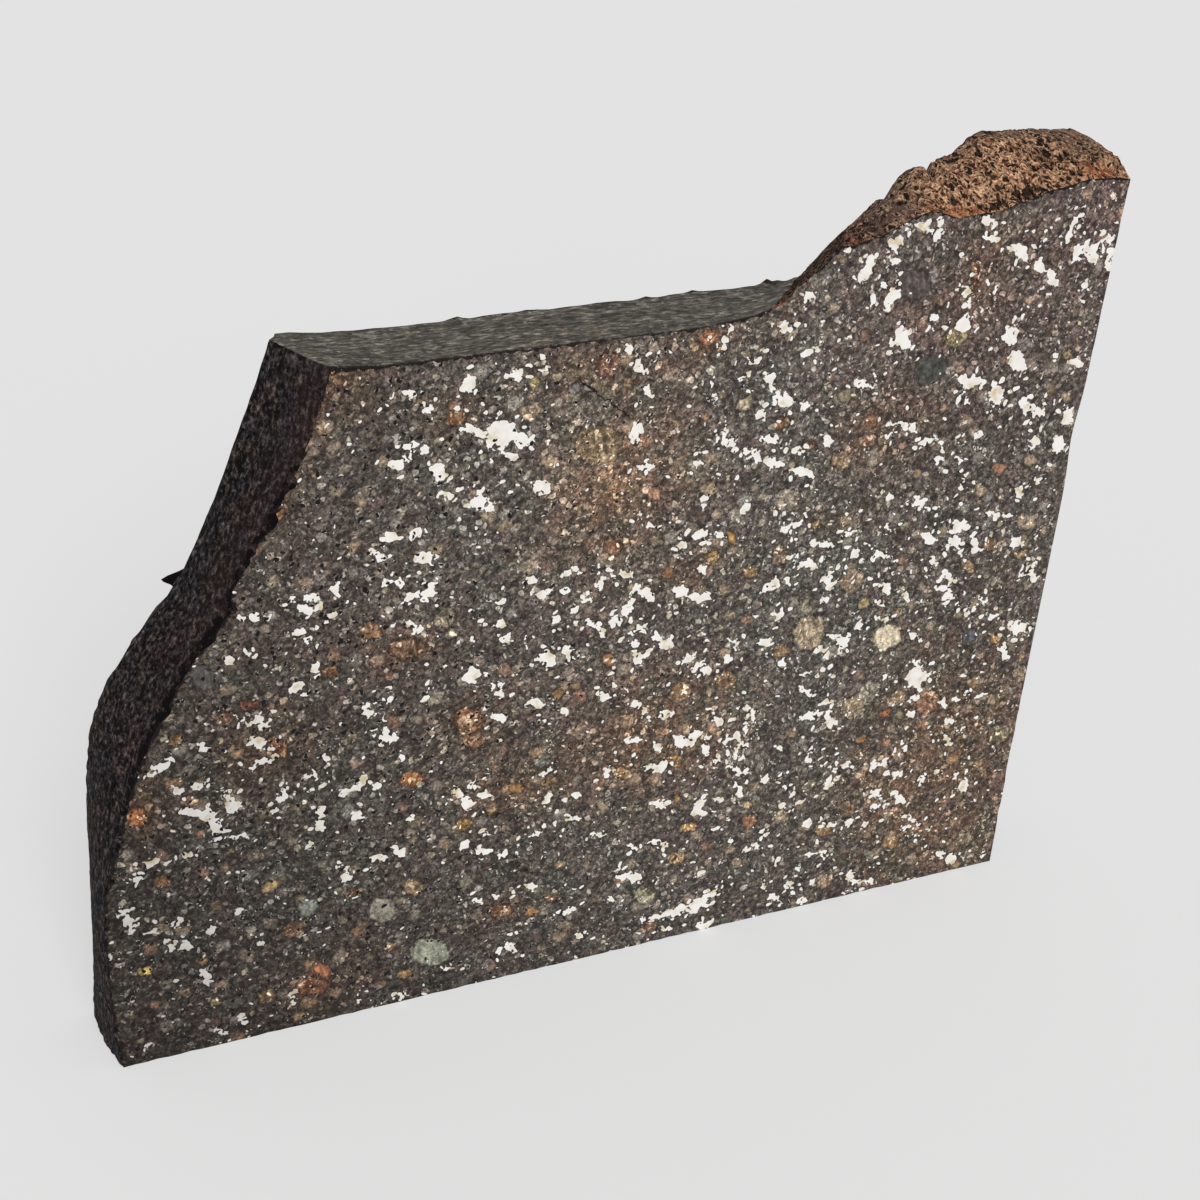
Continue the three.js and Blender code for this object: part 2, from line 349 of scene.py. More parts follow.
crust_x, crust_z = stretch(CRUST_LINE, 200)
crust_z = crust_z + crust_form(crust_x, DEPTHS)
crust_pull = pulled(crust_x[:, 0], crust_z[:, 0], CRUST_EDGE)
rear_pull = pulled(crust_x[:, -1], crust_z[:, -1], CRUST_REAR, smooth(THICKNESS - 1.4, THICKNESS, DEPTHS))
crust_z = crust_z + crust_pull + rear_pull - crust_cuts(crust_x, DEPTHS)

flank_along = np.linspace(0, 1, 97)[:, None]
flank_x, flank_z = stretch(FLANK_LINE, 96)
flank_z = flank_z + flank_form(flank_x, DEPTHS, flank_along)
flank_pull = pulled(flank_x[:, 0], flank_z[:, 0], CRUST_EDGE) * (1 - smooth(0.8, 1, flank_along))
flank_z = flank_z + flank_pull - flank_cuts(flank_x, DEPTHS, flank_along)

side_x, side_z = stretch(SIDE_LINE, 220)
side_x = side_x - side_form(side_z, DEPTHS)
side_pull = pulled(side_z[:, 0], side_x[:, 0], SIDE_EDGE)
side_x = side_x + side_pull + side_cuts(side_z, DEPTHS)
print("the front edge moved by up to", round(float(np.abs(crust_pull).max()), 2), "mm on the crust")

# %% [markdown]
# ## The sawn edges
# The saw left small nicks along the front edges of the base, the right side and the ledge, and a
# ragged line of burr along the ledge's back edge. They are cut into the outermost rows of the band.
# The front edge of the right side is also bowed in slightly along its whole height, and dented a
# little above its middle. The ledge's left end stands a quarter of a millimetre high.

# %% Nicks and burr
corner = np.full(ROWS + 1, float(BASE_LENGTH)), np.zeros(ROWS + 1)
right = between(corner, (crust_x[0], crust_z[0]), 60)
ledge = between((flank_x[-1], flank_z[-1]), (side_x[0], side_z[0]), 80)
base = between((side_x[-1], side_z[-1]), corner, 90)

RIGHT_BOW = 0.2
DENT_AT, DENT_REACH, DENT_DEPTH = 26.4, 1.9, 0.22
NICK_DEPTH = {"right": 0.1, "base": 0.05, "ledge": 0.16}
nick_rows = 1 - smooth(0, 0.2, DEPTHS)[None, :]
back_rows = smooth(THICKNESS - 0.25, THICKNESS, DEPTHS)[None, :]
dent_rows = 1 - smooth(0.2, 1.3, DEPTHS)
right_nicks = NICK_DEPTH["right"] * pits(right[1] / 1.7, 0.5, 0.4, 71)
right[0] = right[0] - nick_rows * (RIGHT_BOW * np.sin(np.pi * right[1] / 42) + right_nicks)
right[0] = right[0] - dent_rows * DENT_DEPTH * np.exp(-((right[1] - DENT_AT) / DENT_REACH) ** 2)
base[1] = base[1] + nick_rows * (0.005 + NICK_DEPTH["base"] * pits(base[0] / 1.3, 0.5, 0.45, 73))
ledge[1] = ledge[1] - nick_rows * NICK_DEPTH["ledge"] * pits(ledge[0] / 0.9, 0.5, 0.45, 75)
ledge[1] = ledge[1] - back_rows * (0.015 + 0.04 * lumps(ledge[0] / 0.8, 0 * ledge[0], 77))
BURRS = [(33.0, 0.27), (33.6, 0.14), (29.0, 0.12), (26.5, 0.12), (16.9, 0.1), (20.3, 0.06)]  # x, height
for burr_x, height in BURRS:
    ledge[1] = ledge[1] + back_rows * height * np.exp(-((ledge[0] - burr_x) / 0.3) ** 2)
    flank_z = flank_z + back_rows * height * np.exp(-((flank_x - burr_x) / 0.3) ** 2)


def corner_rise(x, z):
    """The ledge ends on the left in a corner that stands a quarter of a millimetre higher."""
    return 0.27 * np.exp(-((x - 8.4) / 2.2) ** 2) * smooth(32.5, 34.7, z)


ledge[1] = ledge[1] + corner_rise(*ledge)
side_z = side_z + corner_rise(side_x, side_z)
print("the right side is up to", round(float(BASE_LENGTH - right[0].min()), 2), "mm hollow")

# %% [markdown]
# ## Joining the stretches
# The stretches are laid end to end, anticlockwise as the polished face is seen, and make one grid. It
# is clipped to the CAD part's box, in case a lump and a burr add up.

# %% One grid for the whole band
stretches = [
    ("base", (corner[0][None], corner[1][None])), ("right", right), ("crust", (crust_x, crust_z)),
    ("flank", (flank_x[1:], flank_z[1:])), ("ledge", ledge), ("side", (side_x, side_z)), ("base", base),
]
band_x = np.concatenate([grid[0] for _, grid in stretches])
band_z = np.concatenate([grid[1] for _, grid in stretches])
band_part = np.concatenate([[name] * len(grid[0]) for name, grid in stretches])
# The saw's flat runs on below the foot of the flank, as far as six tenths of the way up its line.
flank_columns = np.flatnonzero(band_part == "flank")
band_part[flank_columns[int(0.6 * len(flank_columns)):]] = "ledge"
limits = np.array([[low.x, high.x], [low.z, high.z]]) / MM
band_x = np.clip(band_x, limits[0, 0] - TO_FRAME.x, BASE_LENGTH)
band_z = np.clip(band_z, 0, limits[1, 1])
columns = len(band_x)
print(columns, "columns,", columns * ROWS, "squares in the band")

# %% [markdown]
# ## The two sawn faces
# A flat face needs no points inside to keep its shape, but its colours do: the larger grains of metal
# and the chondrules are stored on the points of the mesh. So the polished face is filled with a
# triangular grid of points a fifth of a millimetre apart, and a Delaunay triangulation joins them to
# the outline. The back face carries no such marks, and gets a coarser grid.

# %% Points inside a face
def inside_points(outline, spacing, margin):
    """A triangular grid of points that lie inside the outline and clear of it."""
    low_x, low_z = outline.min(0)
    high_x, high_z = outline.max(0)
    rows = np.arange(low_z + spacing / 2, high_z, spacing * math.sqrt(3) / 2)
    found = []
    start, end = outline, np.roll(outline, -1, 0)
    for number, z in enumerate(rows):
        crossing = (start[:, 1] > z) != (end[:, 1] > z)
        cut = start[crossing], end[crossing]
        at = cut[0][:, 0] + (z - cut[0][:, 1]) / (cut[1][:, 1] - cut[0][:, 1]) * (cut[1][:, 0] - cut[0][:, 0])
        x = np.arange(low_x + spacing * (0.25 + 0.5 * (number % 2)), high_x, spacing)
        within = (x[:, None] > at[None, :]).sum(1) % 2 == 1
        close = np.abs(outline[:, 1] - z) < margin
        if close.any():
            gap = np.hypot(x[:, None] - outline[close][None, :, 0], z - outline[close][None, :, 1])
            within &= gap.min(1) > margin
        found.append(np.column_stack([x[within], np.full(within.sum(), z)]))
    return np.concatenate(found)


print("an outline has", columns, "points")

# %% Triangles of the two faces
FRONT_SPACING, BACK_SPACING = 0.22, 0.5


def fill(outline, spacing):
    """The points inside the outline, and triangles that join them to it."""
    inner = inside_points(outline, spacing, spacing * 0.6)
    points = [Vector(p) for p in np.concatenate([outline, inner])]
    result = geometry.delaunay_2d_cdt(points, [], [list(range(len(outline)))], 1, 1e-5)
    origin = [tags[0] for tags in result[3]]
    triangles = np.array([[origin[v] for v in face] for face in result[2]])
    return inner, triangles


front_outline = np.column_stack([band_x[:, 0], band_z[:, 0]])
back_outline = np.column_stack([band_x[:, -1], band_z[:, -1]])
front_inner, front_faces = fill(front_outline, FRONT_SPACING)
back_inner, back_faces = fill(back_outline, BACK_SPACING)
print("front face:", len(front_faces), "triangles; back face:", len(back_faces))

# %% [markdown]
# ## Where the larger metal grains lie
# The bright flecks are nickel-iron, with some golden iron sulphide. The saw and the polish only cut
# them flush, so they are colour and shine, not relief. A pattern would give flecks of the right size
# in the wrong places, so each larger grain is one row: where its middle is, how long and wide it is,
# and how its length is turned. Most lean down to the right, the way the stone was squeezed. A shader
# cannot hold hundreds of rows, so each mesh point stores how deep it lies inside the nearest grain, in
# millimetres, and the shader draws the ragged edge with noise.

# %% Metal grains of the polished face
METAL = [  # x, z, length, width, turn in degrees
    # the top left, down to z = 25
    (17.4, 31.0, 2.0, 1.3, -10), (18.3, 30.6, 1.1, 0.7, -20), (15.8, 31.5, 0.8, 0.3, -35),
    (17.8, 29.9, 1.2, 0.3, -20), (19.1, 34.5, 0.9, 0.35, 90), (17.8, 33.8, 0.9, 0.4, -20),
    (15.5, 33.6, 0.9, 0.55, 70), (12.7, 33.5, 0.8, 0.4, -10), (13.9, 32.7, 0.5, 0.5, 0),
    (15.4, 32.5, 0.35, 0.3, 0), (17.3, 32.0, 0.6, 0.4, 0), (13.2, 30.9, 1.0, 0.45, -30),
    (12.5, 30.3, 0.9, 0.5, -10), (14.4, 29.6, 0.8, 0.6, -40), (15.0, 28.3, 0.8, 0.5, -30),
    (16.4, 27.9, 0.9, 0.7, 80), (17.1, 27.4, 0.5, 0.4, 0), (19.6, 28.0, 1.0, 0.6, -30),
    (12.3, 26.6, 0.8, 0.5, -20), (13.3, 26.6, 0.9, 0.5, 20), (13.9, 25.3, 1.1, 0.75, -15),
    (11.6, 25.8, 1.0, 0.45, -30), (13.4, 24.7, 0.5, 0.4, 0), (12.3, 24.4, 0.4, 0.3, 0),
    (12.85, 24.35, 0.35, 0.35, 0), (14.35, 23.9, 0.6, 0.35, -25), (9.8, 24.3, 1.1, 0.5, -70),
    (8.7, 24.3, 0.5, 0.3, 30), (7.8, 24.2, 0.6, 0.3, -20), (6.0, 23.55, 1.3, 0.35, -10),
    (8.4, 23.6, 0.5, 0.35, -20), (9.0, 23.7, 0.6, 0.3, -50), (8.2, 22.5, 1.0, 0.45, 0),
    (9.4, 23.1, 0.6, 0.3, 20), (5.05, 21.7, 0.4, 0.3, 0), (5.75, 21.85, 0.6, 0.35, 20),
    (8.6, 22.1, 0.3, 0.25, 0), (8.95, 21.7, 0.5, 0.3, -20), (9.0, 20.55, 0.5, 0.4, -60),
    (2.95, 21.25, 0.5, 0.35, 60), (13.5, 23.4, 0.9, 0.45, 15), (14.3, 23.3, 0.7, 0.5, 60),
    (13.0, 22.1, 0.8, 0.25, -10), (13.8, 21.6, 0.8, 0.45, -70),
    # the top middle
    (24.2, 30.2, 1.1, 0.55, -70), (24.0, 33.5, 0.8, 0.6, -30), (23.3, 34.4, 0.5, 0.4, 0),
    (24.6, 32.1, 0.6, 0.4, -30), (24.9, 28.3, 0.7, 0.5, -30), (24.9, 25.7, 0.7, 0.5, -40),
    (28.3, 34.3, 1.1, 0.45, 80), (31.4, 34.5, 1.0, 0.55, -35), (32.5, 36.0, 0.6, 0.5, 50),
    (30.1, 33.0, 0.6, 0.4, -20), (32.8, 33.1, 0.6, 0.3, -20), (33.4, 33.2, 0.4, 0.4, 0),
    (31.0, 32.1, 0.9, 0.6, -70), (31.3, 31.4, 0.7, 0.45, -60), (31.9, 30.8, 1.4, 0.5, -15),
    (28.2, 31.7, 1.2, 0.16, -60), (29.6, 32.3, 0.5, 0.35, 0), (30.9, 30.2, 0.5, 0.35, 0),
    (33.2, 30.3, 0.5, 0.4, 0), (28.95, 29.6, 0.7, 0.35, -60), (29.25, 29.0, 0.6, 0.3, -30),
    (31.4, 28.9, 0.9, 0.6, -20), (30.6, 28.15, 1.7, 0.5, -27), (32.1, 27.4, 1.7, 0.6, -25),
    (33.6, 26.8, 1.4, 0.45, -18), (33.1, 28.0, 0.9, 0.18, -25), (34.8, 28.3, 0.7, 0.5, -30),
    (27.6, 28.1, 0.6, 0.3, -20), (29.2, 27.3, 0.9, 0.18, -20), (28.2, 26.0, 0.6, 0.4, 70),
    (30.65, 25.3, 0.6, 0.4, 60), (28.4, 24.35, 0.8, 0.55, -30), (27.4, 24.0, 1.1, 0.4, -80),
    (29.45, 24.0, 0.6, 0.45, -60), (25.65, 25.1, 0.5, 0.45, 0), (33.4, 23.95, 1.0, 0.55, 10),
    (34.2, 24.25, 0.6, 0.28, -50), (32.4, 24.8, 0.5, 0.35, -30),
    # the top right
    (36.4, 31.0, 1.0, 0.4, -25), (35.5, 37.1, 1.3, 0.6, 75), (36.6, 36.15, 0.7, 0.45, -35),
    (36.1, 35.5, 0.4, 0.4, 0), (37.2, 35.6, 1.2, 0.75, 75), (38.1, 33.2, 1.2, 0.9, -30),
    (39.7, 34.1, 0.5, 0.45, 0), (41.6, 33.6, 1.1, 0.9, -20), (41.3, 35.3, 0.8, 0.5, -45),
    (41.6, 34.6, 0.4, 0.3, 0), (43.0, 35.2, 0.7, 0.5, 60), (44.1, 37.1, 1.2, 0.65, -35),
    (45.4, 36.2, 0.9, 0.5, -35), (46.1, 35.8, 0.7, 0.3, -25), (46.6, 35.3, 0.8, 0.4, -40),
    (47.1, 38.4, 0.9, 0.45, 60), (46.95, 37.6, 0.8, 0.5, 85), (47.7, 36.7, 0.9, 0.7, 70),
    (48.6, 36.5, 1.2, 0.6, -60), (49.25, 36.6, 1.5, 0.24, -75), (49.65, 36.2, 1.5, 0.28, -80),
    (49.3, 37.2, 0.9, 0.22, 20), (48.5, 34.8, 0.5, 0.4, 70), (41.9, 38.9, 0.7, 0.4, -40),
    (42.4, 38.6, 0.35, 0.3, 0), (41.9, 38.1, 0.4, 0.3, 0), (42.5, 37.8, 0.35, 0.3, 0),
    (40.65, 37.2, 0.4, 0.35, 0), (39.2, 38.4, 0.7, 0.55, -30), (38.5, 38.95, 1.5, 0.32, -5),
    (37.1, 38.4, 0.35, 0.3, 0), (36.75, 38.0, 0.9, 0.4, -75), (37.1, 37.4, 0.6, 0.25, -70),
    (34.3, 38.0, 0.28, 0.25, 0), (44.5, 32.8, 1.3, 0.8, -60), (45.3, 31.1, 1.3, 0.8, -55),
    (48.6, 32.9, 0.4, 0.35, 0), (49.0, 30.7, 0.9, 0.55, -20), (47.5, 31.1, 0.5, 0.3, 80),
    (42.5, 30.5, 1.8, 0.7, -15), (42.4, 29.5, 0.8, 0.35, -40), (44.4, 29.4, 1.2, 0.9, -60),
    (46.2, 28.7, 1.0, 0.6, -30), (47.2, 28.1, 0.9, 0.5, -30), (49.1, 27.8, 1.1, 0.8, -30),
    (47.3, 26.5, 0.9, 0.55, -20), (48.8, 26.1, 1.1, 0.8, -60), (39.0, 28.5, 1.8, 0.4, -25),
    (38.2, 27.9, 0.6, 0.4, 70), (40.7, 27.5, 0.9, 0.35, 10), (41.4, 27.1, 0.8, 0.3, -40),
    (43.6, 27.4, 0.6, 0.5, 0), (41.5, 26.4, 0.6, 0.4, 0), (42.9, 26.0, 0.9, 0.4, -50),
    (43.1, 25.3, 0.8, 0.4, -20), (43.45, 24.5, 0.7, 0.3, -25),
    # the middle band on the left
    (5.5, 18.5, 0.8, 0.35, -40), (6.5, 18.0, 0.9, 0.65, -60), (6.35, 17.1, 0.9, 0.5, -55),
    (6.6, 15.95, 1.2, 0.45, 20), (3.8, 17.3, 0.5, 0.4, -40), (4.75, 17.0, 0.6, 0.3, -30),
    (1.5, 16.6, 1.3, 0.35, 15), (1.9, 16.9, 0.5, 0.2, 0), (3.1, 15.25, 1.4, 0.3, 5),
    (9.35, 15.45, 0.9, 0.3, 5), (8.1, 19.65, 0.5, 0.4, 20), (8.5, 19.1, 0.4, 0.3, 60),
    (4.9, 14.5, 1.0, 0.3, -55), (5.25, 13.8, 0.9, 0.6, -60), (3.3, 13.95, 1.3, 0.4, -20),
    (4.1, 13.4, 1.1, 0.6, -50), (4.55, 12.8, 0.8, 0.55, -50), (7.7, 13.85, 0.8, 0.5, -45),
    (8.8, 13.9, 0.6, 0.3, 15), (9.2, 14.4, 0.6, 0.3, -60), (8.75, 14.6, 0.35, 0.35, 0),
    (7.3, 13.15, 0.5, 0.35, -30), (9.1, 13.0, 0.5, 0.35, -60), (9.5, 12.6, 0.5, 0.35, 0),
    (11.5, 13.7, 0.9, 0.6, 60), (10.7, 13.4, 0.6, 0.35, 0), (12.3, 13.4, 0.5, 0.4, 0),
    (11.4, 11.9, 0.6, 0.4, 0), (5.7, 12.15, 0.9, 0.3, -12), (11.6, 17.6, 0.7, 0.5, -50),
    (10.3, 17.3, 0.4, 0.25, 0), (11.9, 16.2, 0.6, 0.35, -50), (12.9, 15.9, 0.7, 0.6, -20),
    (12.6, 16.35, 0.4, 0.3, 0), (12.5, 17.1, 0.4, 0.2, 80), (12.5, 18.1, 0.8, 0.28, 10),
    (12.4, 18.7, 0.5, 0.25, 0), (14.6, 17.9, 0.8, 0.5, 60), (13.5, 14.8, 0.3, 0.3, 0),
    (16.8, 18.6, 0.9, 0.75, -30), (15.4, 19.4, 0.6, 0.28, -10), (18.2, 17.75, 0.6, 0.45, 20),
    (18.3, 17.3, 0.6, 0.35, -40), (17.9, 16.4, 0.6, 0.35, -40), (18.4, 15.9, 0.8, 0.4, -45),
    (20.3, 16.45, 1.0, 0.55, -30), (20.5, 15.35, 0.4, 0.25, -20), (22.0, 15.5, 0.5, 0.28, -60),
    (17.3, 21.3, 0.4, 0.3, 0), (17.1, 20.85, 0.6, 0.3, -55), (18.1, 21.1, 0.5, 0.35, 30),
    (16.7, 20.65, 0.35, 0.28, 0), (18.45, 20.3, 0.7, 0.5, 60), (19.6, 23.2, 0.6, 0.45, -20),
    (20.0, 22.35, 0.6, 0.28, -5), (18.1, 22.3, 0.4, 0.35, 0),
    # the middle
    (21.6, 23.4, 0.6, 0.35, -15), (24.35, 22.9, 0.9, 0.45, -35), (23.1, 22.7, 1.0, 0.35, -75),
    (21.3, 22.4, 0.6, 0.45, 30), (22.4, 21.8, 0.5, 0.28, -30), (24.8, 21.2, 1.0, 0.55, 50),
    (24.6, 20.8, 0.7, 0.4, -60), (21.0, 20.8, 0.5, 0.45, -40), (21.8, 21.1, 0.6, 0.5, 30),
    (22.1, 20.5, 0.5, 0.4, 30), (22.8, 20.3, 0.8, 0.4, -60), (24.2, 20.15, 0.6, 0.45, -20),
    (23.5, 19.7, 0.7, 0.4, -50), (20.7, 18.8, 1.0, 0.7, -20), (21.8, 18.9, 0.9, 0.5, -45),
    (25.3, 21.8, 0.9, 0.3, -50), (25.9, 21.3, 0.9, 0.4, -35), (26.35, 20.9, 0.7, 0.3, -65),
    (26.5, 21.7, 0.5, 0.3, -30), (27.7, 21.3, 0.8, 0.6, -20), (28.7, 22.25, 0.6, 0.45, -40),
    (28.6, 20.75, 1.3, 0.4, -15), (29.0, 20.7, 0.5, 0.4, 60), (25.5, 19.4, 0.7, 0.35, -30),
    (25.4, 18.7, 1.0, 0.5, 70), (26.6, 18.8, 0.8, 0.35, 20), (27.0, 18.45, 0.9, 0.45, -20),
    (25.6, 17.85, 0.8, 0.4, -15), (26.2, 18.1, 0.8, 0.25, 40), (24.3, 17.2, 0.6, 0.4, 70),
    (24.1, 16.0, 0.7, 0.35, -30), (25.25, 16.1, 0.6, 0.3, -60), (28.4, 17.2, 0.6, 0.5, 40),
    (28.8, 17.45, 0.5, 0.3, 10), (29.6, 16.35, 1.5, 0.45, -30), (29.6, 16.9, 0.8, 0.3, -45),
    (31.1, 17.6, 0.6, 0.28, -55), (30.8, 16.9, 0.6, 0.4, -60), (30.3, 16.3, 0.35, 0.3, 0),
    (32.8, 17.4, 1.1, 0.5, -20), (32.8, 18.9, 0.6, 0.35, -25), (33.5, 18.9, 0.4, 0.35, 0),
    (33.3, 15.3, 0.5, 0.3, -50), (34.1, 16.0, 0.5, 0.28, -40), (34.0, 22.05, 0.9, 0.45, -30),
    (34.8, 21.7, 0.7, 0.4, 60), (35.05, 21.2, 0.6, 0.3, -50), (34.85, 22.7, 0.6, 0.4, -30),
    (35.5, 22.55, 0.8, 0.28, -15), (36.8, 23.0, 1.1, 0.3, -15), (36.5, 24.2, 0.7, 0.28, -65),
    (36.1, 20.4, 1.1, 0.6, 80), (35.9, 19.2, 0.5, 0.35, 20), (37.4, 21.7, 0.9, 0.6, 60),
    (36.9, 21.5, 0.6, 0.35, 0), (33.1, 20.7, 0.5, 0.35, -40), (32.5, 20.6, 0.6, 0.28, 10),
    (33.7, 20.7, 0.4, 0.3, 0), (34.2, 21.3, 0.4, 0.3, 0),
    # the middle band on the right
    (41.0, 24.0, 1.1, 0.45, -35), (39.9, 23.7, 0.6, 0.4, 0), (39.2, 22.9, 0.4, 0.3, -30),
    (38.5, 24.8, 0.9, 0.25, -20), (41.9, 21.85, 1.4, 0.6, -35), (43.5, 22.25, 1.1, 0.75, 0),
    (43.55, 21.4, 1.0, 0.75, -20), (43.95, 20.6, 0.4, 0.35, 0), (44.8, 21.05, 0.9, 0.45, -70),
    (46.1, 22.5, 0.9, 0.3, -20), (45.5, 22.7, 0.5, 0.25, -30), (47.4, 24.0, 0.5, 0.3, 0),
    (48.1, 24.25, 0.5, 0.25, 0), (47.0, 23.6, 0.6, 0.35, -40), (38.7, 21.5, 0.8, 0.45, -20),
    (39.7, 21.0, 0.5, 0.28, -15), (42.3, 20.5, 0.8, 0.25, -20), (47.4, 20.8, 0.8, 0.4, -30),
    (47.1, 20.2, 0.35, 0.3, 0), (39.6, 19.45, 1.0, 0.5, -30), (39.4, 18.5, 0.7, 0.35, -60),
    (41.1, 18.5, 0.8, 0.35, -50), (39.7, 17.5, 0.6, 0.3, -30), (38.4, 17.4, 0.5, 0.35, -60),
    (42.9, 19.7, 0.5, 0.35, 0), (43.45, 19.3, 1.0, 0.45, -30), (43.2, 18.75, 0.9, 0.4, -10),
    (43.85, 18.1, 0.9, 0.35, -40), (44.4, 17.7, 0.5, 0.25, -35), (45.7, 17.7, 1.4, 0.38, -28),
    (48.2, 19.1, 0.5, 0.3, -20), (48.9, 18.5, 0.6, 0.4, -15), (48.3, 18.6, 0.4, 0.3, 0),
    (48.8, 19.2, 0.5, 0.35, 40), (37.6, 16.5, 1.1, 0.5, 70), (36.8, 17.0, 0.6, 0.4, 20),
    (36.2, 16.4, 0.7, 0.4, -20), (36.7, 16.1, 0.7, 0.5, 70), (41.9, 16.1, 0.8, 0.35, -40),
    (42.95, 16.25, 0.3, 0.25, 0), (45.1, 16.95, 0.6, 0.35, -60), (46.8, 16.4, 0.6, 0.3, -25),
    (46.3, 15.9, 0.5, 0.25, -20), (48.3, 15.5, 0.9, 0.45, -55), (49.0, 15.4, 0.9, 0.4, -60),
    (48.1, 14.0, 1.0, 0.4, -60), (40.6, 14.0, 0.6, 0.45, -20), (42.6, 13.5, 1.6, 1.15, -30),
    (42.6, 14.35, 0.9, 0.25, -10), (36.2, 15.1, 1.1, 0.28, 0), (36.6, 14.5, 0.7, 0.3, -35),
    (35.7, 14.1, 0.6, 0.3, -45), (37.3, 14.6, 0.4, 0.28, -20), (32.2, 13.7, 0.9, 0.45, -10),
    (32.7, 13.2, 0.9, 0.38, -55), (32.5, 12.8, 0.45, 0.35, 0), (30.9, 13.5, 0.8, 0.25, -5),
    (30.9, 13.0, 0.5, 0.28, -60), (36.0, 12.45, 0.75, 0.4, -25), (37.05, 12.5, 0.8, 0.35, -15),
    (37.5, 11.9, 1.1, 0.6, -60), (37.1, 13.1, 0.5, 0.28, 0),
    # the lower left
    (1.2, 11.6, 1.2, 0.3, -8), (1.95, 11.35, 0.4, 0.28, -30), (3.1, 11.6, 1.9, 0.2, -20),
    (0.7, 10.7, 0.8, 0.5, -10), (0.2, 9.2, 0.8, 0.35, -20), (0.3, 8.6, 0.9, 0.4, -40),
    (0.45, 8.1, 0.6, 0.3, -60), (1.7, 7.65, 0.8, 0.28, -5), (2.8, 8.0, 0.6, 0.4, 60),
    (5.7, 7.85, 0.5, 0.35, 30), (4.6, 9.4, 0.5, 0.2, -20), (2.9, 6.5, 1.2, 0.5, -5),
    (2.6, 7.0, 0.7, 0.18, 5), (-0.6, 6.6, 0.6, 0.4, 80), (4.2, 7.2, 0.5, 0.2, -20),
    (4.3, 6.9, 0.5, 0.35, -50), (9.6, 11.75, 0.6, 0.45, -30), (9.2, 10.8, 0.4, 0.3, 0),
    (11.1, 8.35, 0.9, 0.5, 40), (10.9, 8.9, 0.6, 0.16, -45), (10.6, 7.4, 0.35, 0.28, -40),
    (6.4, 6.1, 0.8, 0.18, -20), (6.8, 5.7, 0.5, 0.25, 20), (10.1, 5.6, 0.5, 0.25, 30),
    (4.0, 4.5, 0.9, 0.28, -60), (4.4, 3.8, 0.8, 0.35, -60), (2.7, 4.5, 0.5, 0.2, 0),
    (8.6, 2.2, 1.0, 0.35, 85), (5.9, 1.4, 0.8, 0.35, -10), (6.2, 1.1, 0.4, 0.4, 0),
    (5.3, 0.7, 0.8, 0.25, -30), (6.6, 0.4, 0.7, 0.2, 0), (1.4, 1.1, 0.8, 0.3, 25),
    (0.7, 0.5, 0.9, 0.18, -30), (12.1, 0.9, 0.7, 0.3, 60),
    # the lower middle
    (17.2, 12.4, 0.6, 0.45, 40), (16.6, 12.0, 0.5, 0.45, -60), (17.1, 11.35, 0.9, 0.5, -40),
    (18.0, 11.6, 0.7, 0.35, -10), (14.15, 11.1, 0.4, 0.25, 15), (21.4, 12.2, 0.6, 0.25, 15),
    (24.7, 11.5, 0.6, 0.45, -20), (21.4, 10.5, 0.8, 0.4, 70), (22.4, 10.35, 0.28, 0.25, 0),
    (23.1, 10.5, 0.4, 0.28, -20), (13.8, 9.2, 0.8, 0.5, -20), (13.6, 9.4, 0.6, 0.16, -20),
    (12.6, 9.2, 0.5, 0.28, 0), (18.1, 9.35, 0.5, 0.28, -60), (17.1, 8.7, 0.7, 0.28, 70),
    (18.1, 8.2, 1.0, 0.5, -30), (19.2, 7.9, 0.9, 0.35, -55), (22.6, 9.35, 0.4, 0.28, 0),
    (23.1, 9.0, 0.8, 0.25, -20), (21.7, 8.95, 0.5, 0.2, -10), (21.0, 8.5, 0.5, 0.35, 70),
    (24.6, 7.7, 0.7, 0.45, -10), (17.4, 5.7, 0.6, 0.25, 10), (18.2, 5.3, 0.5, 0.25, -30),
    (18.9, 5.2, 0.35, 0.3, 0), (19.9, 5.2, 0.5, 0.25, 0), (20.9, 5.5, 0.7, 0.3, -30),
    (22.75, 3.45, 0.7, 0.3, -10), (23.3, 3.3, 0.8, 0.35, 5), (19.9, 1.9, 0.9, 0.45, 15),
    (20.3, 1.5, 0.7, 0.3, -60), (24.4, 1.3, 0.7, 0.4, -40), (25.3, 2.1, 0.5, 0.3, 70),
    (14.3, 0.4, 0.8, 0.65, -20), (16.6, 1.4, 0.5, 0.2, 0), (19.4, 0.6, 0.6, 0.28, -10),
    (29.0, 12.35, 1.4, 0.7, -30), (29.6, 12.6, 0.8, 0.4, 20), (30.2, 11.7, 0.8, 0.4, 75),
    (27.4, 12.4, 0.6, 0.4, -50), (27.4, 11.1, 1.0, 0.6, -10), (27.75, 11.4, 0.4, 0.3, 60),
    (26.9, 11.3, 0.4, 0.16, -10), (26.1, 12.1, 0.4, 0.25, 0), (25.8, 15.2, 0.8, 0.3, -5),
    (26.4, 14.65, 0.6, 0.28, -55), (27.3, 14.4, 1.1, 0.3, -20), (25.9, 13.1, 1.3, 0.3, -20),
    (31.7, 11.95, 0.8, 0.28, 30), (32.2, 11.7, 0.8, 0.25, -45), (32.05, 11.2, 0.6, 0.35, 80),
    (32.3, 10.8, 0.6, 0.2, -20), (31.0, 10.6, 0.5, 0.4, -30), (31.7, 10.2, 1.0, 0.22, -15),
    (32.4, 9.85, 1.1, 0.3, -22), (27.5, 9.0, 0.7, 0.3, -20), (28.1, 8.7, 0.7, 0.45, 10),
    (30.25, 8.1, 1.1, 0.7, 40), (30.5, 7.7, 0.9, 0.4, -30), (32.6, 8.65, 0.7, 0.4, -50),
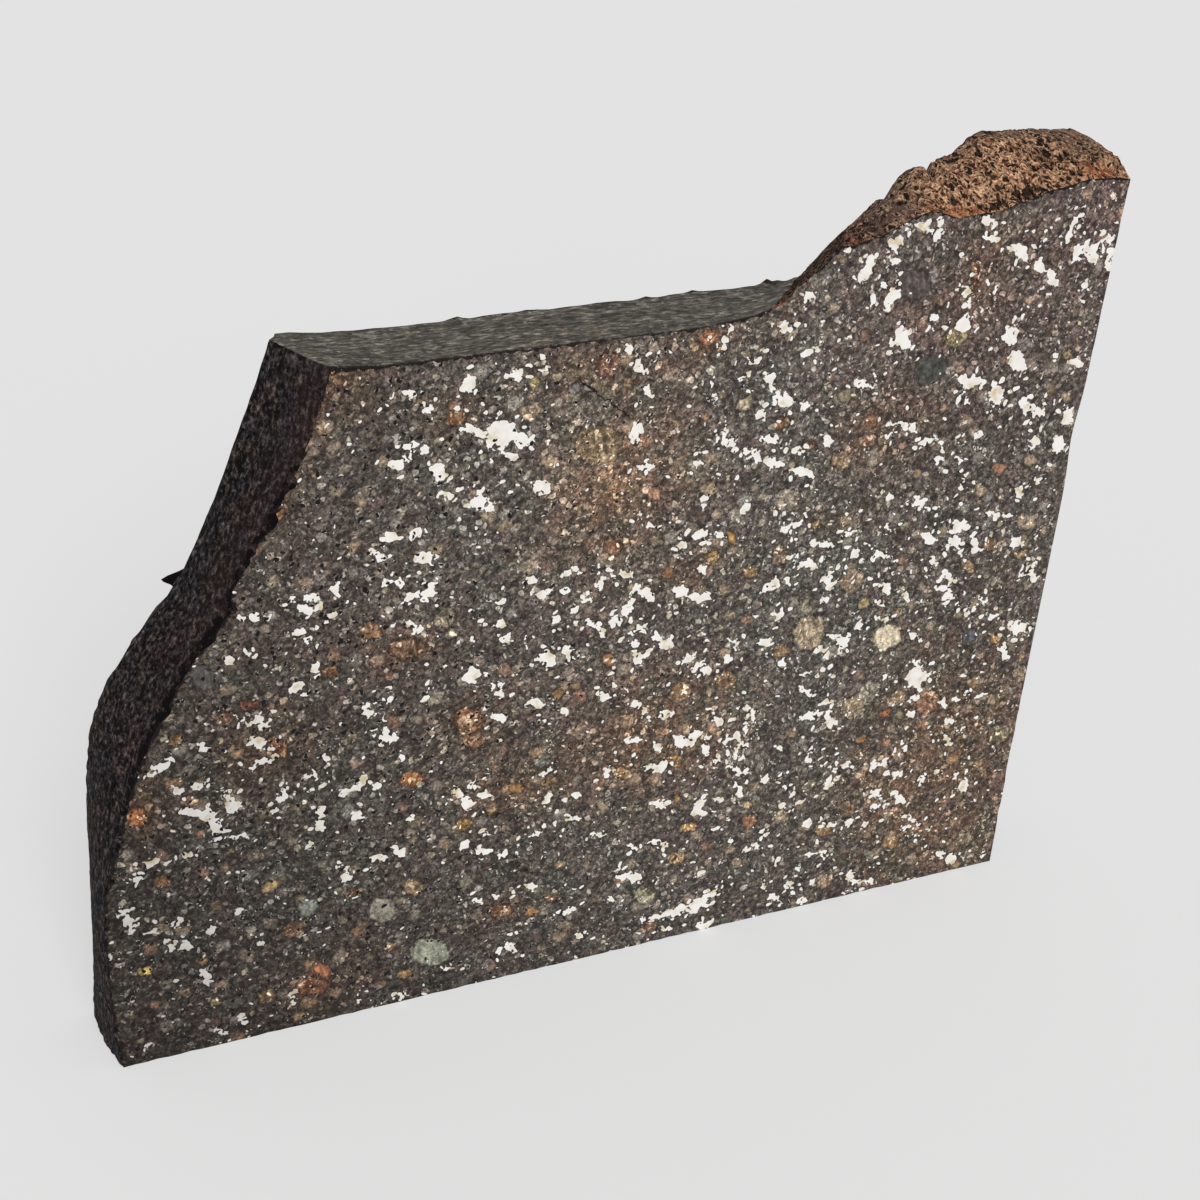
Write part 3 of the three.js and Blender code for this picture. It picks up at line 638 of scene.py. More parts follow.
    (31.9, 8.25, 0.9, 0.28, -15), (34.2, 9.0, 0.8, 0.4, 60), (26.9, 6.9, 0.35, 0.3, 0),
    (26.6, 6.5, 0.5, 0.28, -40), (28.3, 6.2, 0.8, 0.3, -25), (31.9, 6.4, 0.8, 0.22, -10),
    (25.9, 5.2, 0.6, 0.35, -40), (26.7, 4.65, 1.4, 0.42, -22), (28.3, 4.05, 0.5, 0.25, 0),
    (25.6, 3.5, 0.5, 0.25, -20), (30.9, 3.8, 0.4, 0.28, 40), (32.45, 2.6, 0.8, 0.28, -75),
    (28.5, 1.6, 1.6, 0.3, -5), (29.8, 1.65, 1.4, 0.5, 5), (31.1, 1.8, 1.3, 0.75, 20),
    (31.8, 2.2, 0.6, 0.35, 60), (29.4, 0.6, 0.4, 0.3, 0), (27.8, 0.6, 0.7, 0.2, -65),
    (31.8, 0.35, 1.1, 0.5, 10),
    # the lower right
    (34.6, 10.8, 0.5, 0.38, -30), (36.7, 10.4, 0.6, 0.28, -80), (36.5, 9.65, 0.6, 0.28, 0),
    (35.5, 8.3, 0.5, 0.25, 0), (35.9, 7.55, 0.5, 0.35, 85), (35.4, 7.0, 0.35, 0.3, 0),
    (36.7, 7.05, 0.6, 0.2, 5), (32.5, 5.4, 0.4, 0.3, 60), (34.0, 5.5, 0.4, 0.3, -10),
    (34.55, 5.5, 0.6, 0.35, -70), (37.15, 5.45, 0.55, 0.45, 20), (33.7, 4.7, 1.1, 0.35, 12),
    (35.6, 3.4, 0.5, 0.25, 70), (37.7, 3.5, 0.8, 0.5, 50), (38.3, 3.3, 0.7, 0.28, 0),
    (38.6, 2.95, 0.8, 0.3, -65), (35.1, 1.9, 0.7, 0.28, -60), (36.8, 1.6, 1.3, 0.32, -55),
    (35.7, 1.1, 0.5, 0.3, 0), (36.7, 0.45, 0.5, 0.2, -10), (37.6, 0.3, 0.5, 0.38, 0),
    (37.1, 1.3, 0.6, 0.28, -50), (38.1, 1.4, 0.4, 0.3, 70), (37.2, 2.3, 0.6, 0.2, 0),
    (38.3, 11.4, 0.4, 0.25, -20), (42.6, 12.2, 0.5, 0.2, 0), (42.75, 11.2, 0.7, 0.5, 70),
    (42.6, 10.45, 0.4, 0.28, -30), (44.7, 11.5, 0.8, 0.28, -60), (45.4, 11.5, 0.45, 0.4, 0),
    (46.2, 11.75, 0.5, 0.4, 40), (46.9, 11.5, 0.4, 0.28, 0), (45.3, 10.2, 0.45, 0.3, -30),
    (38.5, 8.75, 0.8, 0.32, -10), (39.0, 8.8, 0.6, 0.4, 0), (38.15, 8.0, 0.8, 0.35, -60),
    (40.8, 8.35, 0.6, 0.4, 60), (41.4, 8.2, 0.8, 0.4, -20), (41.8, 7.65, 0.6, 0.4, -70),
    (42.5, 7.5, 0.7, 0.35, -15), (42.7, 8.9, 1.1, 0.3, -78), (45.3, 9.05, 0.8, 0.5, -40),
    (46.1, 9.6, 0.6, 0.35, -10), (44.1, 6.9, 0.6, 0.35, -20), (44.2, 6.4, 0.6, 0.28, -80),
    (45.1, 7.1, 0.7, 0.3, -50), (46.0, 6.6, 0.9, 0.35, -20), (41.2, 6.5, 0.8, 0.55, -50),
    (41.3, 5.5, 0.6, 0.4, -40), (41.9, 5.75, 0.6, 0.45, 30), (42.9, 5.85, 1.3, 0.5, -50),
    (47.1, 5.6, 1.0, 0.65, 10), (47.1, 6.0, 0.5, 0.35, 80), (38.4, 5.25, 0.8, 0.28, -20),
    (39.9, 5.0, 0.9, 0.35, 20), (41.0, 4.5, 0.4, 0.38, 0), (43.4, 4.5, 0.6, 0.2, -40),
    (44.0, 4.2, 0.9, 0.22, -45), (43.65, 3.7, 0.4, 0.2, -30), (44.4, 3.0, 1.1, 0.3, -28),
    (45.3, 3.2, 0.35, 0.3, 0), (40.5, 1.2, 0.7, 0.38, -70), (41.0, 0.75, 0.9, 0.28, -30),
    (41.8, 0.65, 0.8, 0.35, -15), (40.5, 0.2, 0.6, 0.35, 0), (41.7, 1.6, 0.6, 0.16, -50),
    (46.5, 1.3, 0.6, 0.4, -30), (47.25, 0.8, 0.9, 0.6, -60), (49.4, 0.65, 0.4, 0.28, 70),
]
print(len(METAL), "metal grains placed by hand")

# %% [markdown]
# ## Where the larger chondrules lie
# A chondrule is a frozen drop of molten silicate, so most are round, and few are more than two
# millimetres across. Their colour tells what they are made of: fine barred ones look grey-green,
# weathered ones tan or orange-brown. They are listed in the same way as the metal, each with its
# colour. A letter tells the inside: p for plain, g for granular.

# %% Chondrules of the polished face
CHONDRULES = [  # x, z, length, width, turn, colour, inside
    (40.25, 16.35, 1.9, 1.5, -20, "c2b294", "p"), (35.4, 17.5, 2.3, 1.85, -60, "8c7b62", "g"),
    (15.7, 2.7, 2.4, 1.6, -35, "81826f", "p"), (32.9, 25.4, 1.6, 1.3, -20, "85796a", "g"),
    (29.1, 25.2, 0.8, 0.55, -30, "a08f78", "p"), (29.9, 30.9, 1.0, 0.8, 40, "a8987c", "g"),
    (39.7, 13.2, 1.5, 1.4, -30, "777063", "g"), (38.9, 12.4, 1.7, 1.3, -35, "85745a", "g"),
    (40.1, 31.4, 1.9, 1.7, 0, "42433e", "p"), (47.75, 21.9, 1.5, 1.0, -25, "8c7a65", "g"),
    (37.5, 20.15, 1.6, 1.4, -20, "7c6a55", "g"), (34.1, 19.5, 0.9, 0.75, -20, "81776a", "p"),
    (47.3, 25.5, 0.9, 0.7, -20, "9a8468", "p"), (45.4, 25.3, 1.0, 0.6, -20, "8f6748", "p"),
    (43.6, 11.75, 1.8, 1.4, -35, "8a6247", "g"), (41.6, 12.4, 1.4, 1.0, 0, "76614c", "g"),
    (41.0, 11.6, 0.8, 0.6, 0, "9b6238", "p"), (44.4, 24.2, 1.2, 0.7, -25, "85765f", "g"),
    (43.6, 23.3, 1.1, 0.7, -20, "6d6c60", "g"), (42.4, 23.8, 1.3, 1.1, 0, "5f5750", "g"),
    (45.7, 20.9, 1.0, 0.9, 0, "6d543f", "g"), (46.45, 18.6, 0.8, 0.7, 0, "7d776c", "g"),
    (38.45, 18.65, 0.75, 0.65, 0, "9d8a5c", "p"), (40.65, 17.7, 0.75, 0.6, -20, "9c8160", "p"),
    (44.6, 19.8, 1.3, 0.6, -40, "7e6544", "g"), (40.6, 19.1, 0.8, 0.6, -20, "6f6f66", "g"),
    (47.9, 20.0, 0.9, 0.6, 0, "8a7352", "g"), (47.4, 14.95, 1.1, 0.6, -35, "8f6a3f", "g"),
    (45.6, 15.5, 1.0, 0.9, 0, "4e5052", "p"), (47.3, 11.4, 1.0, 0.5, -35, "8c7b5e", "g"),
    (46.0, 23.8, 1.2, 1.0, -20, "5c4f4b", "g"), (48.8, 8.7, 1.5, 1.3, -40, "6f6048", "g"),
    (47.9, 2.0, 1.4, 0.9, -15, "7b6c56", "g"), (46.6, 2.1, 1.0, 0.7, -20, "75624d", "g"),
    (42.8, 3.0, 1.4, 0.8, -30, "87673f", "g"), (41.6, 2.3, 1.3, 0.6, -50, "717060", "g"),
    (38.9, 1.3, 1.1, 1.0, 0, "8a7258", "g"), (38.3, 4.8, 1.4, 0.8, -20, "84653f", "g"),
    (36.9, 8.0, 0.9, 0.8, 0, "75705c", "g"), (35.5, 6.3, 1.2, 0.9, -20, "86775f", "g"),
    (33.5, 6.5, 1.1, 0.9, -30, "8c6242", "g"), (33.2, 7.6, 0.7, 0.5, -30, "8b7a58", "g"),
    (39.8, 10.3, 0.7, 0.6, 0, "906a3e", "p"), (39.7, 5.9, 0.7, 0.7, 0, "7d5c34", "g"),
    (27.7, 3.2, 1.6, 1.0, -30, "7c785f", "g"), (29.4, 5.1, 1.3, 0.9, -20, "82623f", "g"),
    (29.8, 7.0, 1.2, 0.6, -10, "9a773f", "g"), (28.2, 1.0, 1.3, 0.7, 0, "6a4f3b", "g"),
    (28.9, 8.8, 0.9, 0.35, 80, "98703f", "p"), (25.5, 11.2, 1.2, 0.7, -30, "917043", "g"),
    (28.5, 11.3, 1.2, 0.7, -30, "96743f", "g"), (24.6, 9.4, 1.1, 0.6, -55, "8a7a61", "p"),
    (27.9, 6.0, 0.6, 0.4, 0, "7b6b55", "g"), (30.8, 15.6, 1.4, 1.1, -20, "7b5f42", "g"),
    (28.3, 15.4, 1.4, 1.2, 0, "7c5f40", "g"), (33.9, 16.7, 1.1, 0.9, -20, "7f6443", "g"),
    (29.15, 22.9, 0.9, 0.8, -60, "8c6d3c", "g"), (30.05, 23.8, 0.9, 0.4, -70, "a47738", "p"),
    (31.4, 21.7, 1.0, 0.7, -30, "8b6d49", "g"), (33.0, 22.3, 1.4, 0.9, -60, "6a5646", "g"),
    (29.1, 18.7, 0.8, 0.7, 0, "5b5d58", "g"), (34.8, 23.7, 0.9, 0.6, -20, "7b6340", "g"),
    (26.8, 22.4, 0.8, 0.6, -20, "80593a", "p"), (24.0, 18.15, 1.1, 0.6, -50, "96683a", "p"),
    (23.6, 24.3, 1.2, 0.8, -40, "7e573b", "g"), (15.2, 22.0, 1.3, 1.1, -50, "706655", "g"),
    (15.6, 21.1, 0.8, 0.7, 0, "6c6557", "g"), (13.4, 20.7, 2.0, 1.1, -10, "6f4e36", "g"),
    (16.8, 16.1, 1.9, 1.4, -40, "7b5334", "g"), (17.2, 14.9, 1.5, 0.9, -20, "6a4a34", "g"),
    (14.05, 13.4, 1.3, 0.9, -15, "9a6434", "g"), (21.5, 16.65, 0.7, 0.6, 0, "917043", "p"),
    (22.4, 16.9, 0.9, 0.35, 0, "80694d", "p"), (21.0, 12.9, 1.0, 0.9, 0, "5e5e56", "g"),
    (11.6, 21.95, 1.1, 0.9, -20, "96704a", "g"), (9.75, 20.15, 1.0, 0.6, -20, "78522f", "g"),
    (7.25, 8.85, 1.05, 0.7, 5, "9a8352", "p"), (9.15, 7.1, 1.2, 1.0, -30, "74766c", "p"),
    (8.4, 6.0, 1.1, 1.0, 0, "6e4f3a", "g"), (13.0, 6.0, 1.8, 1.4, -35, "7d7768", "p"),
    (14.5, 7.0, 1.3, 1.0, -50, "76603f", "g"), (14.4, 1.7, 0.9, 0.6, -15, "86693f", "g"),
    (1.35, 6.7, 0.9, 0.8, -60, "745a46", "g"), (1.2, 5.45, 0.8, 0.55, -10, "b59a52", "p"),
    (1.9, 10.4, 1.0, 0.7, -20, "6f5136", "g"), (4.5, 8.4, 0.8, 0.6, 0, "7d6b4f", "g"),
    (10.0, 3.1, 1.4, 0.7, -40, "9b5f3c", "p"), (9.5, 2.3, 1.8, 1.2, -30, "70482f", "g"),
    (7.2, 2.3, 1.1, 0.8, 0, "75603f", "g"), (5.5, 2.4, 1.2, 0.6, -5, "4f4b46", "p"),
    (4.55, 2.7, 0.7, 0.5, -20, "8b7a54", "g"), (8.9, 0.6, 0.9, 0.6, 0, "7b6746", "g"),
    (3.85, 5.3, 0.6, 0.45, -20, "87643c", "p"), (11.4, 7.4, 0.9, 0.7, 0, "6a4c37", "g"),
    (19.7, 11.6, 0.8, 0.6, -20, "946e3c", "p"), (17.0, 10.1, 1.0, 0.8, 0, "80602f", "g"),
    (18.4, 10.6, 0.9, 0.6, 0, "7c6136", "g"), (21.2, 3.8, 0.8, 0.6, -20, "93683c", "p"),
    (22.2, 4.4, 0.8, 0.6, 0, "74543a", "g"), (19.5, 4.3, 1.6, 0.8, -20, "6d4a33", "g"),
    (22.5, 6.4, 0.8, 0.5, 0, "857055", "g"), (21.3, 11.6, 0.6, 0.6, 0, "83673d", "g"),
    (13.5, 3.6, 0.7, 0.6, 0, "866750", "g"), (3.7, 21.0, 1.5, 1.1, -60, "4c4744", "p"),
    (0.7, 14.3, 1.4, 0.9, -60, "8f5a2c", "g"), (5.8, 19.2, 0.9, 0.5, -10, "7c4430", "p"),
    (7.3, 16.6, 1.4, 0.9, -50, "75492f", "g"), (2.4, 15.7, 0.8, 0.6, 0, "86684a", "g"),
    (3.2, 14.6, 1.0, 0.6, 0, "7a5c3f", "g"), (2.5, 18.0, 0.8, 0.7, 0, "6f5334", "g"),
    (4.7, 18.7, 1.1, 0.8, 0, "6a503d", "g"), (6.8, 28.7, 1.0, 0.9, 0, "865a38", "g"),
    (18.7, 31.9, 1.2, 1.0, 0, "85705a", "g"), (18.8, 33.3, 0.8, 0.6, 80, "86794f", "g"),
    (22.3, 29.8, 2.6, 2.0, -20, "7d684c", "g"), (22.3, 33.8, 1.4, 1.2, 0, "744f3c", "g"),
    (15.1, 32.1, 1.1, 0.8, 0, "7f5737", "g"), (20.8, 32.8, 0.7, 0.6, 0, "6e6c66", "p"),
    (23.9, 32.8, 0.5, 0.4, 0, "94602f", "p"), (33.7, 28.2, 0.8, 0.7, 0, "6d4f37", "g"),
    (32.0, 29.6, 0.9, 0.7, 0, "835a36", "g"), (35.4, 30.6, 0.9, 0.8, 0, "82765f", "p"),
    (35.8, 27.1, 1.3, 1.0, -30, "846c50", "g"), (37.0, 29.0, 1.0, 0.8, 0, "80583a", "g"),
    (37.0, 28.0, 1.3, 0.9, 0, "6b4f3b", "g"), (27.4, 34.6, 1.1, 0.8, 0, "8c5b39", "g"),
    (41.3, 33.0, 1.5, 1.1, 0, "7c6f48", "g"), (48.3, 31.2, 0.7, 0.6, 0, "8b7355", "g"),
    (39.2, 27.4, 0.6, 0.5, 0, "86675a", "p"), (38.3, 36.0, 2.1, 1.5, -20, "4d4441", "p"),
    (40.3, 25.8, 0.6, 0.6, 0, "90785a", "p"), (41.7, 36.3, 1.6, 0.5, -80, "7a5132", "g"),
]
print(len(CHONDRULES), "chondrules placed by hand")

# %% [markdown]
# ## Stains and tones
# Water got in along the outside and along cracks, and turned parts of the matrix rusty brown. Other
# parts stayed cool grey, and the upper right has a purple-brown tone. These are soft clouds without
# an edge, so each is one row: its middle, its radius across and up, and its strength. Two more lists
# set how dark the face is: one for the lower left, which is partly the stone's own darker matrix and
# partly painted shade where the light falls off, one for the matrix in larger parts of the face.

# %% Clouds of tone on the polished face
RUSTY = [
    (23.6, 27.5, 3.6, 4.2, 0.9), (17.0, 15.8, 2.0, 1.6, 0.7), (27.0, 13.0, 4.6, 3.4, 0.85),
    (28.2, 22.2, 1.8, 1.4, 0.5), (45.0, 6.5, 6.5, 7.5, 0.9), (10.0, 34.0, 1.6, 1.6, 0.9),
    (13.2, 20.6, 2.0, 1.2, 0.6), (6.5, 16.8, 2.2, 2.6, 0.6), (10.0, 2.2, 2.6, 1.8, 0.8),
    (19.5, 11.5, 3.0, 2.0, 0.6), (19.4, 4.3, 1.6, 1.0, 0.6), (42.2, 36.2, 1.4, 2.6, 0.5),
    (38.0, 28.3, 2.4, 2.0, 0.6), (1.0, 14.4, 1.2, 1.6, 0.9), (21.5, 33.6, 2.8, 1.2, 0.6),
    (14.8, 32.2, 1.6, 1.0, 0.5), (27.2, 34.2, 1.6, 1.0, 0.8), (6.8, 28.7, 0.9, 0.9, 0.8),
    (30.5, 36.0, 1.6, 0.8, 0.6), (36.0, 24.0, 2.0, 0.9, 0.4),
]
PURPLE = [
    (42.0, 33.5, 8.0, 5.5, 0.8), (48.5, 38.5, 2.5, 3.0, 0.8), (24.0, 17.0, 4.0, 2.0, 0.35),
    (3.0, 2.0, 4.0, 3.0, 0.4), (11.0, 25.0, 3.5, 5.0, 0.35), (24.5, 13.2, 2.4, 1.6, 0.4),
]
COOL = [
    (31.0, 31.0, 3.6, 3.6, 0.8), (15.0, 28.5, 4.0, 4.5, 0.6), (22.0, 32.0, 1.6, 0.9, 0.6),
    (35.5, 19.5, 4.5, 6.0, 0.8), (36.5, 7.5, 4.0, 5.5, 0.6), (38.0, 2.5, 3.0, 2.0, 0.5),
    (21.8, 7.0, 4.0, 3.5, 0.4), (9.0, 8.0, 4.0, 4.0, 0.4),
]

# The lower left is darker as a whole: partly a darker matrix, partly painted shade where light falls off.
LOWER_LEFT_DARK_AND_SHADE = [(0.0, 2.0, 16.0, 26.0, 0.62)]
# The matrix is a little lighter or, where the strength is negative, darker in places.
SHADE = [(20.0, -0.5, 30.0, 3.9, -0.28), (22.0, 28.0, 4.0, 5.0, 0.33), (15.0, 25.5, 4.0, 3.0, 0.14),
         (30.0, 26.0, 6.0, 6.0, 0.11), (34.0, 33.5, 2.5, 2.5, 0.3), (46.0, 13.0, 3.0, 4.0, -0.24),
         (42.0, 22.0, 3.0, 5.0, -0.14), (46.5, 29.0, 2.0, 3.0, -0.18), (21.0, 7.0, 6.0, 3.0, -0.12)]
print("clouds:", len(RUSTY), "rusty,", len(PURPLE), "purple-brown,", len(COOL), "cool grey")

# %% [markdown]
# ## Stains on the crust
# The crust is orange in places along its front edge, black in others, and purple-brown along its back
# and on its left lobe. These clouds are placed by x and by depth. Below them are the two measures that
# turn the lists into numbers on points: the depth inside an oval, and the strength of the clouds.

# %% Clouds of tone on the crust and the flank
CRUST_ORANGE = [(39.6, 0.2, 1.1, 0.45, 1.0), (41.4, 0.15, 1.2, 0.25, 0.8), (48.1, 0.35, 1.6, 0.35, 0.9),
                (34.9, 0.3, 0.5, 0.4, 1.0), (30.6, 0.1, 1.2, 0.15, 0.8)]
CRUST_BLACK = [(44.0, 0.3, 1.7, 0.4, 1.0), (42.2, 0.25, 0.8, 0.25, 0.7), (46.0, 1.6, 1.2, 0.6, 0.6),
               (32.5, 2.0, 2.2, 3.0, 0.9), (35.6, 2.4, 1.4, 2.6, 0.7), (46.3, 2.8, 1.4, 0.6, 0.5),
               (48.8, 1.8, 1.2, 0.9, 0.45)]
CRUST_PURPLE = [(46.0, 4.3, 4.0, 0.8, 0.9), (36.2, 0.8, 1.8, 1.0, 1.0), (37.4, 2.4, 1.7, 1.6, 1.0),
                (38.8, 4.2, 1.3, 0.9, 1.0), (48.8, 2.6, 1.7, 1.6, 0.9)]
print("clouds of the crust:", len(CRUST_ORANGE), len(CRUST_BLACK), len(CRUST_PURPLE))

# %% Depth inside an oval, strength of a cloud
def within(places, points):
    """How deep in mm each point lies inside the nearest oval, and which oval that is."""
    deep = np.full(len(points), -0.6)
    nearest = np.zeros(len(points), int)
    for number, (x, z, length, width, turn) in enumerate(places):
        reach = max(length, width) / 2 + 0.7
        close = np.flatnonzero((np.abs(points[:, 0] - x) < reach) & (np.abs(points[:, 1] - z) < reach))
        side, up = points[close, 0] - x, points[close, 1] - z
        c, s = math.cos(math.radians(turn)), math.sin(math.radians(turn))
        away = np.hypot((side * c + up * s) / (length / 2), (up * c - side * s) / (width / 2))
        inside = (1 - away) * min(length, width) / 2
        better = close[inside > deep[close]]
        deep[better] = inside[inside > deep[close]]
        nearest[better] = number
    return deep, nearest


def cloud(places, points):
    """The strength of the clouds at each point, added up and at most 1."""
    total = np.zeros(len(points))
    for x, z, across, up, strength in places:
        total += strength * np.exp(-((points[:, 0] - x) / across) ** 2 - ((points[:, 1] - z) / up) ** 2)
    return np.minimum(total, 1)


centre = np.array([[METAL[0][0], METAL[0][1]]])
print("the middle of the first grain lies", float(within(METAL[:1], centre)[0][0]), "mm deep in it")

# %% [markdown]
# ## Building the skin
# The band and the two caps share their outline points, so the skin is one closed surface. Each face
# keeps the number of its surface, which later picks its material.

# %% Points and faces
rows = ROWS + 1
band = np.stack([band_x, np.broadcast_to(DEPTHS, band_x.shape), band_z], -1).reshape(-1, 3)
front_at = len(band) + np.arange(len(front_inner))
back_at = len(band) + len(front_inner) + np.arange(len(back_inner))
points = np.concatenate([
    band,
    np.column_stack([front_inner[:, 0], np.zeros(len(front_inner)), front_inner[:, 1]]),
    np.column_stack([back_inner[:, 0], np.full(len(back_inner), THICKNESS), back_inner[:, 1]]),
])
here = np.arange(columns)[:, None] * rows + np.arange(ROWS)[None, :]
following = ((np.arange(columns) + 1) % columns)[:, None] * rows + np.arange(ROWS)[None, :]
band_faces = np.stack([here, here + 1, following + 1, following], -1).reshape(-1, 4)
front_ids = np.concatenate([np.arange(columns) * rows, front_at])
back_ids = np.concatenate([np.arange(columns) * rows + ROWS, back_at])
front_tris = front_ids[front_faces]
back_tris = back_ids[back_faces][:, ::-1]

SURFACES = ["polished", "sawn", "side", "crust", "flank"]
SURFACE_OF = {"base": "sawn", "right": "sawn", "ledge": "sawn",
              "crust": "crust", "flank": "flank", "side": "side"}
square_surface = []
for this, next_part in zip(band_part, np.roll(band_part, -1)):
    kinds = SURFACE_OF[this], SURFACE_OF[next_part]
    # A square between two stretches is part of the sawn one, because its flat runs up to the corner.
    square_surface.append(SURFACES.index("sawn" if "sawn" in kinds else kinds[1]))
print(len(points), "points,", len(band_faces) * 2 + len(front_tris) + len(back_tris), "triangles")

# %% The mesh
faces = band_faces.tolist() + front_tris.tolist() + back_tris.tolist()
skin = bpy.data.meshes.new("chondrite_skin")
skin.from_pydata(((points + np.array(TO_FRAME)) * MM).tolist(), [], faces)
slice_piece = bpy.data.objects.new("chondrite_meteorite_slice", skin)
bpy.context.collection.objects.link(slice_piece)
face_surface = np.concatenate([
    np.repeat(square_surface, ROWS), np.full(len(front_tris), SURFACES.index("polished")),
    np.full(len(back_tris), SURFACES.index("sawn"))])
skin.polygons.foreach_set("material_index", face_surface.astype(np.int32))
skin.polygons.foreach_set("use_smooth", np.ones(len(faces), bool))
print("piece", slice_piece.name, "has", len(faces), "faces")

# %% [markdown]
# ## Sharp edges
# All faces are smooth-shaded, so that the small squares do not show. A saw leaves a crisp edge,
# though. The edges round the two sawn faces and the corners of the outline are marked sharp, so that
# the light breaks there.

# %% Marking the sharp edges
# Corners where a flat sawn edge begins or ends, as column numbers.
starts = [int(np.flatnonzero(band_part == name)[0]) for name in ("crust", "side")]
stops = [int(np.flatnonzero(band_part == name)[-1]) for name in ("flank", "side")]
sharp_columns = [0, *starts, *stops]
ends = np.zeros(len(skin.edges) * 2, np.int32)
skin.edges.foreach_get("vertices", ends)
ends = ends.reshape(-1, 2)
in_band = (ends < len(band)).all(1)
row, column = ends % rows, ends // rows
rim = in_band & (((row == 0).all(1)) | ((row == ROWS).all(1)))
upright = in_band & (column[:, 0] == column[:, 1]) & np.isin(column[:, 0], sharp_columns)
sharp = skin.attributes.new("sharp_edge", "BOOLEAN", "EDGE")
sharp.data.foreach_set("value", rim | upright)
skin.update()
print("edges:", len(skin.edges), "- each between two faces:", len(skin.loops) == 2 * len(skin.edges))

# %% [markdown]
# ## Storing the marks on the skin
# The marks drawn from lists become attributes: numbers kept on the points, which a shader reads by
# name. Only the polished face has them. Everywhere else the value tells the shader to draw the
# stone's inside from noise alone.

# %% Metal and chondrules, stored on the points
def linear(code):
    """An sRGB hex colour as the linear numbers that a shader works with."""
    parts = [int(code[k:k + 2], 16) / 255 for k in (0, 2, 4)]
    return [v / 12.92 if v <= 0.04045 else ((v + 0.055) / 1.055) ** 2.4 for v in parts] + [1.0]


def store(name, kind, values, everywhere):
    """Keeps one value for each point: the same everywhere, and these on the polished face."""
    full = np.tile(np.array(everywhere, float), (len(points), 1))
    full[front_ids] = np.array(values).reshape(len(front_ids), -1)
    field = {"FLOAT": "value", "FLOAT_COLOR": "color"}[kind]
    skin.attributes.new(name, kind, "POINT").data.foreach_set(field, full.ravel().astype(np.float32))


face_points = points[front_ids][:, [0, 2]]
metal_deep, _ = within(METAL, face_points)
store("metal_deep", "FLOAT", metal_deep, [-0.6])
# Small flecks keep close to the large grains, so each point also stores how crowded the metal is.
crowd = cloud([(x, z, 1.0, 0.85, 1.3 * length * width) for x, z, length, width, _ in METAL], face_points)
store("metal_near", "FLOAT", crowd, [0.3])
chondrule_deep, which = within([row[:5] for row in CHONDRULES], face_points)
store("chondrule_deep", "FLOAT", chondrule_deep, [-0.6])
shades = np.array([linear(row[5])[:3] + [1.0 if row[6] == "g" else 0.0] for row in CHONDRULES])
# The dust of the polish dulls them all: their colours move a little of the way to grey.
shades[:, :3] = 0.85 * shades[:, :3] + 0.15 * shades[:, :3].mean(1, keepdims=True)
store("chondrule_shade", "FLOAT_COLOR", shades[which], [0.2, 0.2, 0.2, 1])
print("polished face: metal covers", round(float((metal_deep[len(front_outline):] > 0).mean()) * 100, 1), "%")

# %% Tones and dirt of the polished face
# Rust came in along the left edge, most at the top.
face_x, face_z = face_points.T
left_edge = np.interp(face_z, *np.array(SIDE_EDGE).T)
rim = np.exp(-np.maximum(face_x - left_edge, 0) / 0.55) * (0.45 + 0.55 * smooth(26, 31, face_z))
rusty = np.minimum(cloud(RUSTY, face_points) + 0.8 * rim, 1)
purple, cool = cloud(PURPLE, face_points), cloud(COOL, face_points)
# The fourth number is 1 on the polished face and 0 elsewhere, which tells the shader where it is.
on_the_face = np.ones(len(face_points))
store("tone", "FLOAT_COLOR", np.column_stack([rusty, purple, cool, on_the_face]), [0, 0, 0, 0])
# The stored dark is partly painted shade: the lower left darkens where the light falls off.
store("dark", "FLOAT", cloud(LOWER_LEFT_DARK_AND_SHADE, face_points), [0.1])
store("shade", "FLOAT", 1 + cloud(SHADE, face_points), [1.0])
# The face is darkened along the left edge and, more thinly, along the edge under the ledge and the crust.
from_side = 1 - (face_x - left_edge) / np.interp(face_z, [20, 24, 30], [0.45, 0.5, 0.22])
top_edge = np.interp(face_x, *np.array([(8, 35.15), (11, 35.0), *CRUST_EDGE]).T)
from_top = 1 - (top_edge - face_z) / np.interp(face_x, [28, 34], [0.2, 0.13])
store("edge_darkening", "FLOAT", np.clip(np.maximum(from_side, from_top), 0, 1), [0.0])
print("the points now store", sum(a.domain == "POINT" for a in skin.attributes), "numbers and colours")

# %% [markdown]
# ## Storing the dark marks on the band
# The crust and the flank store how deep each point lies in a pore, so that the dark sits exactly in
# the hollows. It also lies along their back rim and the ledge's, where it is partly painted shade of
# the surface turning away from the light, along the ledge's front edge, along the side's front edge,
# and on the spur.

# %% Dirt and tones of the band
part_of = np.repeat(band_part, rows)
across_x, depth, up = band.T
pore_large, pore_small = crust_pores(across_x, depth)
# Painted shade in part: the back rim, where the surface turns away from the light, is darkened.
back_rim_shade_and_dirt = 0.7 * smooth(4.25, 4.5, depth)
on_crust = np.maximum(np.maximum(pore_large, 0.9 * pore_small), back_rim_shade_and_dirt)
on_ledge = np.maximum(0.72 * (1 - smooth(0.08, 0.32, depth)), back_rim_shade_and_dirt)
border = (0.4 + 0.6 * smooth(8, 20, up)) * (1 - 0.45 * smooth(28, 32, up))
on_spur = np.exp(-((up - SPURS[0][0]) / 0.6) ** 2) * smooth(4.0, 4.3, depth)
on_side = np.maximum(0.7 * (1 - smooth(0.1, 0.8, depth)) * border, on_spur)
hollow = np.zeros(len(points))
surfaces = [np.isin(part_of, ["crust", "flank"]), part_of == "ledge", part_of == "side"]
hollow[:len(band)] = np.select(surfaces, [on_crust, on_ledge, on_side])
skin.attributes.new("hollow", "FLOAT", "POINT").data.foreach_set("value", hollow.astype(np.float32))

